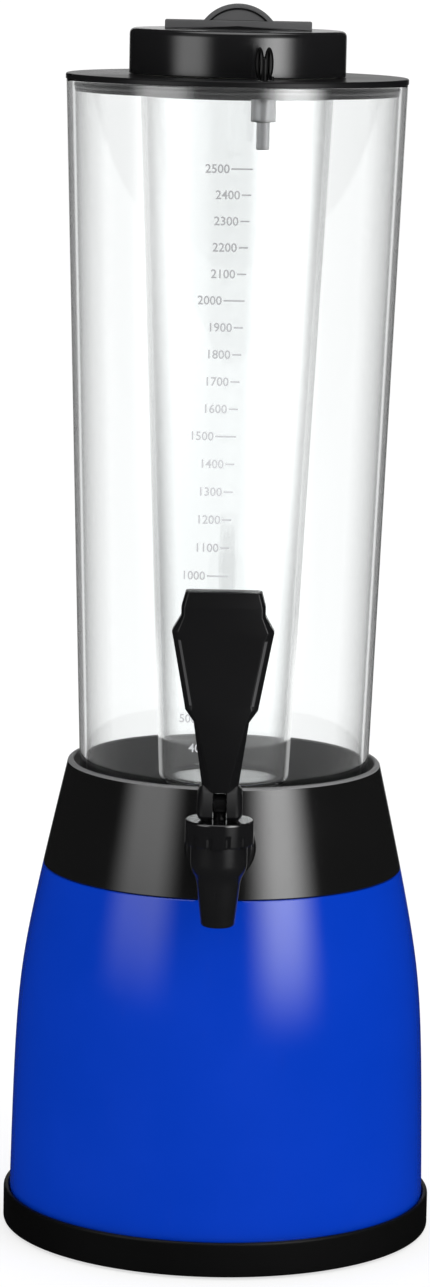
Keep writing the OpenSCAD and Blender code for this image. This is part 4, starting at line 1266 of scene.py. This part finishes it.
# Lid seal
# A black rubber ring with a soft swollen middle, sprung into the groove of the lid's skirt. Its
# skin is smooth and takes a sheen.
seal_round = 0.25 * MM
seal_third = (seal_hi.z - seal_lo.z) / 3
seal_corners = [
    (groove_r, seal_lo.z), (skirt_r, seal_lo.z), (seal_hi.x, seal_lo.z + seal_third),
    (seal_hi.x, seal_hi.z - seal_third), (skirt_r, seal_hi.z), (groove_r, seal_hi.z),
]
lid_seal = skin("lid_seal_ring", spin(soften(seal_corners, seal_round, closed=True), 192), loop=True)
sleek_rubber = moulded("sleek_rubber", (16, 16, 17), 0.2, mottle=0.1, grain=700.0, depth=0.1)
polish(lid_seal, sleek_rubber, 50)
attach(lid_seal, "lid")
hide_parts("lid_seal")

# Vent
# A stepped tube of grey translucent plastic hangs through the lid on a seal, and a small black
# knob with two upright wings turns a needle in it to let air in.
vent_top = lid_under - 1 * MM
vent_low = lid_under - 13.5 * MM
vent_r = 4.85 * MM
drop_r = 2.575 * MM
air_r = 0.9 * MM
needle_hole_r = 1.7 * MM
needle_seat = lid_top - 9.3 * MM
vent_corners = [
    (air_r, vent_lo.z), (drop_r, vent_lo.z), (drop_r, vent_low), (vent_r, vent_low), (vent_r, vent_top),
    (spigot_r, vent_top), (spigot_r, lid_top), (needle_hole_r, lid_top), (needle_hole_r, needle_seat),
    (air_r, needle_seat),
]
vent_rounds = np.array([0.2, 0.4, 0.4, 0.5, 0.3, 0.1, 0.2, 0.2, 0.2, 0.2]) * MM
vent = skin("vent_tube", spin(soften(vent_corners, vent_rounds, closed=True), 96) + vent_axis, loop=True)
grey_clear = clear_moulded("grey_clear", (176, 176, 178), rough=0.3, depth=0.1, edge_shade_tone=0.9)
polish(vent, grey_clear)
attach(vent, "lid")
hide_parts("vent_body")
seal_ring("vent_seal_ring", "vent_seal", spigot_r, "lid")

knob_lo, knob_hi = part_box("vent_knob")
knob_low = lid_top + 0.3 * MM
knob_half_h = (knob_hi.z - knob_low) / 2
knob_mid = knob_low + knob_half_h
wing_w = (knob_hi.x - knob_lo.x) / 4
wing_aside = 0.98 * wing_w
wing_t = 1.8 * MM
wing_edge = 1.5 * MM
needle_r = 1.55 * MM
needle_round = 0.3 * MM


def upright(grid):
    """The grid with its outline in X and Z and its thickness along Y."""
    return grid[..., [0, 2, 1]]


needle_corners = [
    (0, knob_lo.z), (air_r / 2, knob_lo.z), (needle_r, knob_lo.z + needle_r), (needle_r, knob_low + MM),
    (wing_t, knob_mid - 2.2 * MM), (wing_t, knob_mid + 1.8 * MM), (0, knob_mid + 2.6 * MM),
]
knob = skin("vent_wing_knob", spin(soften(needle_corners, needle_round), 48) + vent_axis)
wing_outline = circle(1) * np.array([wing_w, knob_half_h])
for name, way in (("left_wing", -1), ("right_wing", 1)):
    wing = slab(wing_outline + np.array([way * wing_aside, 0]), wing_t, wing_edge)
    carve(knob, skin(name, upright(wing) + vent_axis + np.array([0, 0, knob_mid])), "UNION")
knob_black = moulded("knob_black", (10, 10, 10), 0.34, mottle=0.1, grain=1200.0, depth=0.1, level=0.1)
polish(knob, knob_black, 50)
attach(knob, "vent_knob")
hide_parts("vent_knob")

# Ice tube
# The clear tapered tube that holds the ice, closed and rounded below, with a flange that rests on
# the lid and a neck with a coarse thread for the cap.
tube_lo, tube_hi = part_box("ice_tube")
tube_top_r = 38.8 * MM
tube_foot_r = 26.2 * MM
tube_wall = 2.2 * MM
flange_low = lid_top + 0.8 * MM
flange_top = flange_low + 1.8 * MM
neck_r = tube_hi.x - 1.4 * MM
mouth_r = tube_top_r - tube_wall
glow_full = 40 * MM
glow_end = 75 * MM
glow_foot = 4 * MM
glow_faint = 0.016
glow_bright = 0.3
glow_edge = (0.62, 0.76)
glow_walls = 2.5
tube_corners = [
    (0, tube_lo.z), (tube_foot_r, tube_lo.z), (tube_top_r, lid_top), (tube_top_r, flange_low),
    (tube_hi.x, flange_low), (tube_hi.x, flange_top), (neck_r, flange_top), (neck_r, tube_hi.z),
    (mouth_r, tube_hi.z), (mouth_r, lid_top), (tube_foot_r - tube_wall, tube_lo.z + tube_wall),
    (0, tube_lo.z + tube_wall),
]
tube_rounds = np.array([0, 4, 0.5, 0.2, 0.3, 0.3, 0.3, 0.5, 0.5, 0.5, 1.8, 0]) * MM
tube = skin("clear_ice_tube", spin(soften(tube_corners, tube_rounds, steps=9), 224))
ridge_h = 0.8 * MM
ridge_w = 1.6 * MM
ridge_rise = 4 * MM
ridge_start = flange_top + 1.6 * MM
ridge_slope = 12
ridge_t = np.linspace(0, 1, 240)
ridge_a = 2 * np.pi * ridge_t
# The thread's ridge: a low, blunt wedge carried once round the neck, running out at both ends
ridge_size = np.clip(np.minimum(ridge_t, 1 - ridge_t) * ridge_slope, 0, 1)
ridge_shape = np.array([(-0.3, -0.5), (1.0, -0.12), (1.0, 0.12), (-0.3, 0.5)])
ridge_r = neck_r + ridge_h * ridge_shape[:, :1] * ridge_size
ridge_z = ridge_start + ridge_rise * ridge_t + ridge_w * ridge_shape[:, 1:] * ridge_size
ridge = polar(ridge_r, ridge_a, ridge_z)
carve(tube, skin("neck_thread", ridge), "UNION")
clear_tube = clear_moulded("clear_tube", (254, 255, 255), rough=0.01, depth=0.02, edge_shade_tone=0.22)
# Painted light: the tube glows near its foot, as if light piped down inside the wall came out there: a
# little all over, and most along the edges of the surface that the eye meets first behind the tank's wall
glow_tree = clear_tube.node_tree
glow_z = object_place(glow_tree)["Z"]
glow_high = eased(glow_tree, glow_z, tube_lo.z + glow_full, tube_lo.z + glow_end, low=1.0, high=0.0)
glow_low = eased(glow_tree, glow_z, tube_lo.z + glow_foot / 2, tube_lo.z + glow_foot)
glow_facing = add(glow_tree, "LayerWeight", Blend=0.5).outputs["Facing"]
painted_glow_lines = eased(glow_tree, glow_facing, *glow_edge, high=glow_bright)
glow_depth = add(glow_tree, "LightPath").outputs["Transmission Depth"]
glow_first = add(glow_tree, "Math", glow_depth, glow_walls, operation="LESS_THAN").outputs[0]
glow_there = product(glow_tree, glow_high, glow_low)
glow = product(glow_tree, scaled(glow_tree, painted_glow_lines, glow_first, glow_faint), glow_there)
painted_glow_shader = glow_tree.nodes["Principled BSDF"]
# The painted glow goes into the emission: the clear tube glows though it is no lamp
glow_tree.links.new(glow, painted_glow_shader.inputs["Emission Color"])
painted_glow_shader.inputs["Emission Strength"].default_value = 1.0
polish(tube, clear_tube)
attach(tube, "ice_tube")
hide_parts("ice_tube")
seal_ring("flange_seal_ring", "tube_gasket", lid_hole_r, "ice_tube")

# Cap seal and cap
# A silicone ring lies on the tube's mouth under the cap. The cap is one glossy black moulding
# with a rounded edge, a straight grip bar across its top and a half-round tab on the bar.
seal_ring("cap_seal_ring", "cap_seal", mouth_r, "cap_seal")
cap_lo, cap_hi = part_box("ice_cap")
cap_top = 488.2 * MM
cap_in_r = cap_hi.x - 1.9 * MM
cap_in_top = cap_top - 2.2 * MM
bar_half = 29.2 * MM
bar_w = 5 * MM
bar_top = cap_top + 3.5 * MM
bar_round = 0.8 * MM
bar_edge = 0.6 * MM
tab_h = cap_hi.z - bar_top
tab_half = 13.65 * MM
tab_r = (tab_half ** 2 + tab_h ** 2) / (2 * tab_h)
tab_rim = 1.6 * MM
tab_dish = 0.9 * MM
tab_face = bar_w / 2
tab_in_r = tab_r - tab_rim
tab_room_half = 30 * MM
tab_room_h = 20 * MM
tab_room_t = 10 * MM
grip_low = cap_top + 0.3 * MM
sheen_facing = 0.8


def oblong(half, low, high):
    """Outline of an oblong that reaches half to either side, from low to high."""
    return [(-half, low), (half, low), (half, high), (-half, high)]


cap_corners = [
    (0, cap_in_top), (cap_in_r, cap_in_top), (cap_in_r, cap_lo.z),
    (cap_hi.x, cap_lo.z), (cap_hi.x, cap_top), (0, cap_top),
]
cap_rounds = np.array([0, 0.4, 0.3, 0.4, 2.6, 0]) * MM
cap = skin("ice_tube_cap", spin(soften(cap_corners, cap_rounds, steps=10), 256))
bar_outline = soften(oblong(bar_half, cap_top - overlap, bar_top), bar_round, closed=True)
carve(cap, skin("grip_bar", upright(slab(bar_outline, bar_w / 2, bar_edge))), "UNION")
tab_corners = [
    (0, tab_dish - tab_face), (tab_in_r - MM, tab_dish - tab_face), (tab_in_r, -tab_face),
    (tab_r, -tab_face), (tab_r, tab_face), (tab_in_r, tab_face),
    (tab_in_r - MM, tab_face - tab_dish), (0, tab_face - tab_dish),
]
tab_rounds = np.array([0, 0.4, 0.2, 0.5, 0.5, 0.2, 0.4, 0]) * MM
tab = skin("half_round_tab", along_y(spin(soften(tab_corners, tab_rounds), 192), cap_hi.z - tab_r))
tab_room = oblong(tab_room_half, bar_top - overlap, bar_top + tab_room_h)
carve(tab, skin("tab_room", upright(slab(tab_room, tab_room_t, 0))), "INTERSECT")
carve(cap, tab, "UNION")
cap_black = moulded("cap_black", (24, 24, 25), 0.2, mottle=0.08, grain=600.0, depth=0.06)
polish(cap, cap_black)
# Painted sheen: the bar's and tab's faces that look forward or back are a lighter grey, standing in for the
# light they mirror
grip_painted_sheen = moulded("grip_painted_sheen", (92, 92, 93), 0.45, spread=0.04, mottle=0.08, level=0.3)
on_bar = face_values(cap, "center")[:, 2] > grip_low
part_finish(cap, grip_painted_sheen, on_bar & (np.abs(face_values(cap, "normal")[:, 1]) > sheen_facing))
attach(cap, "ice_cap")
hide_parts("ice_cap")
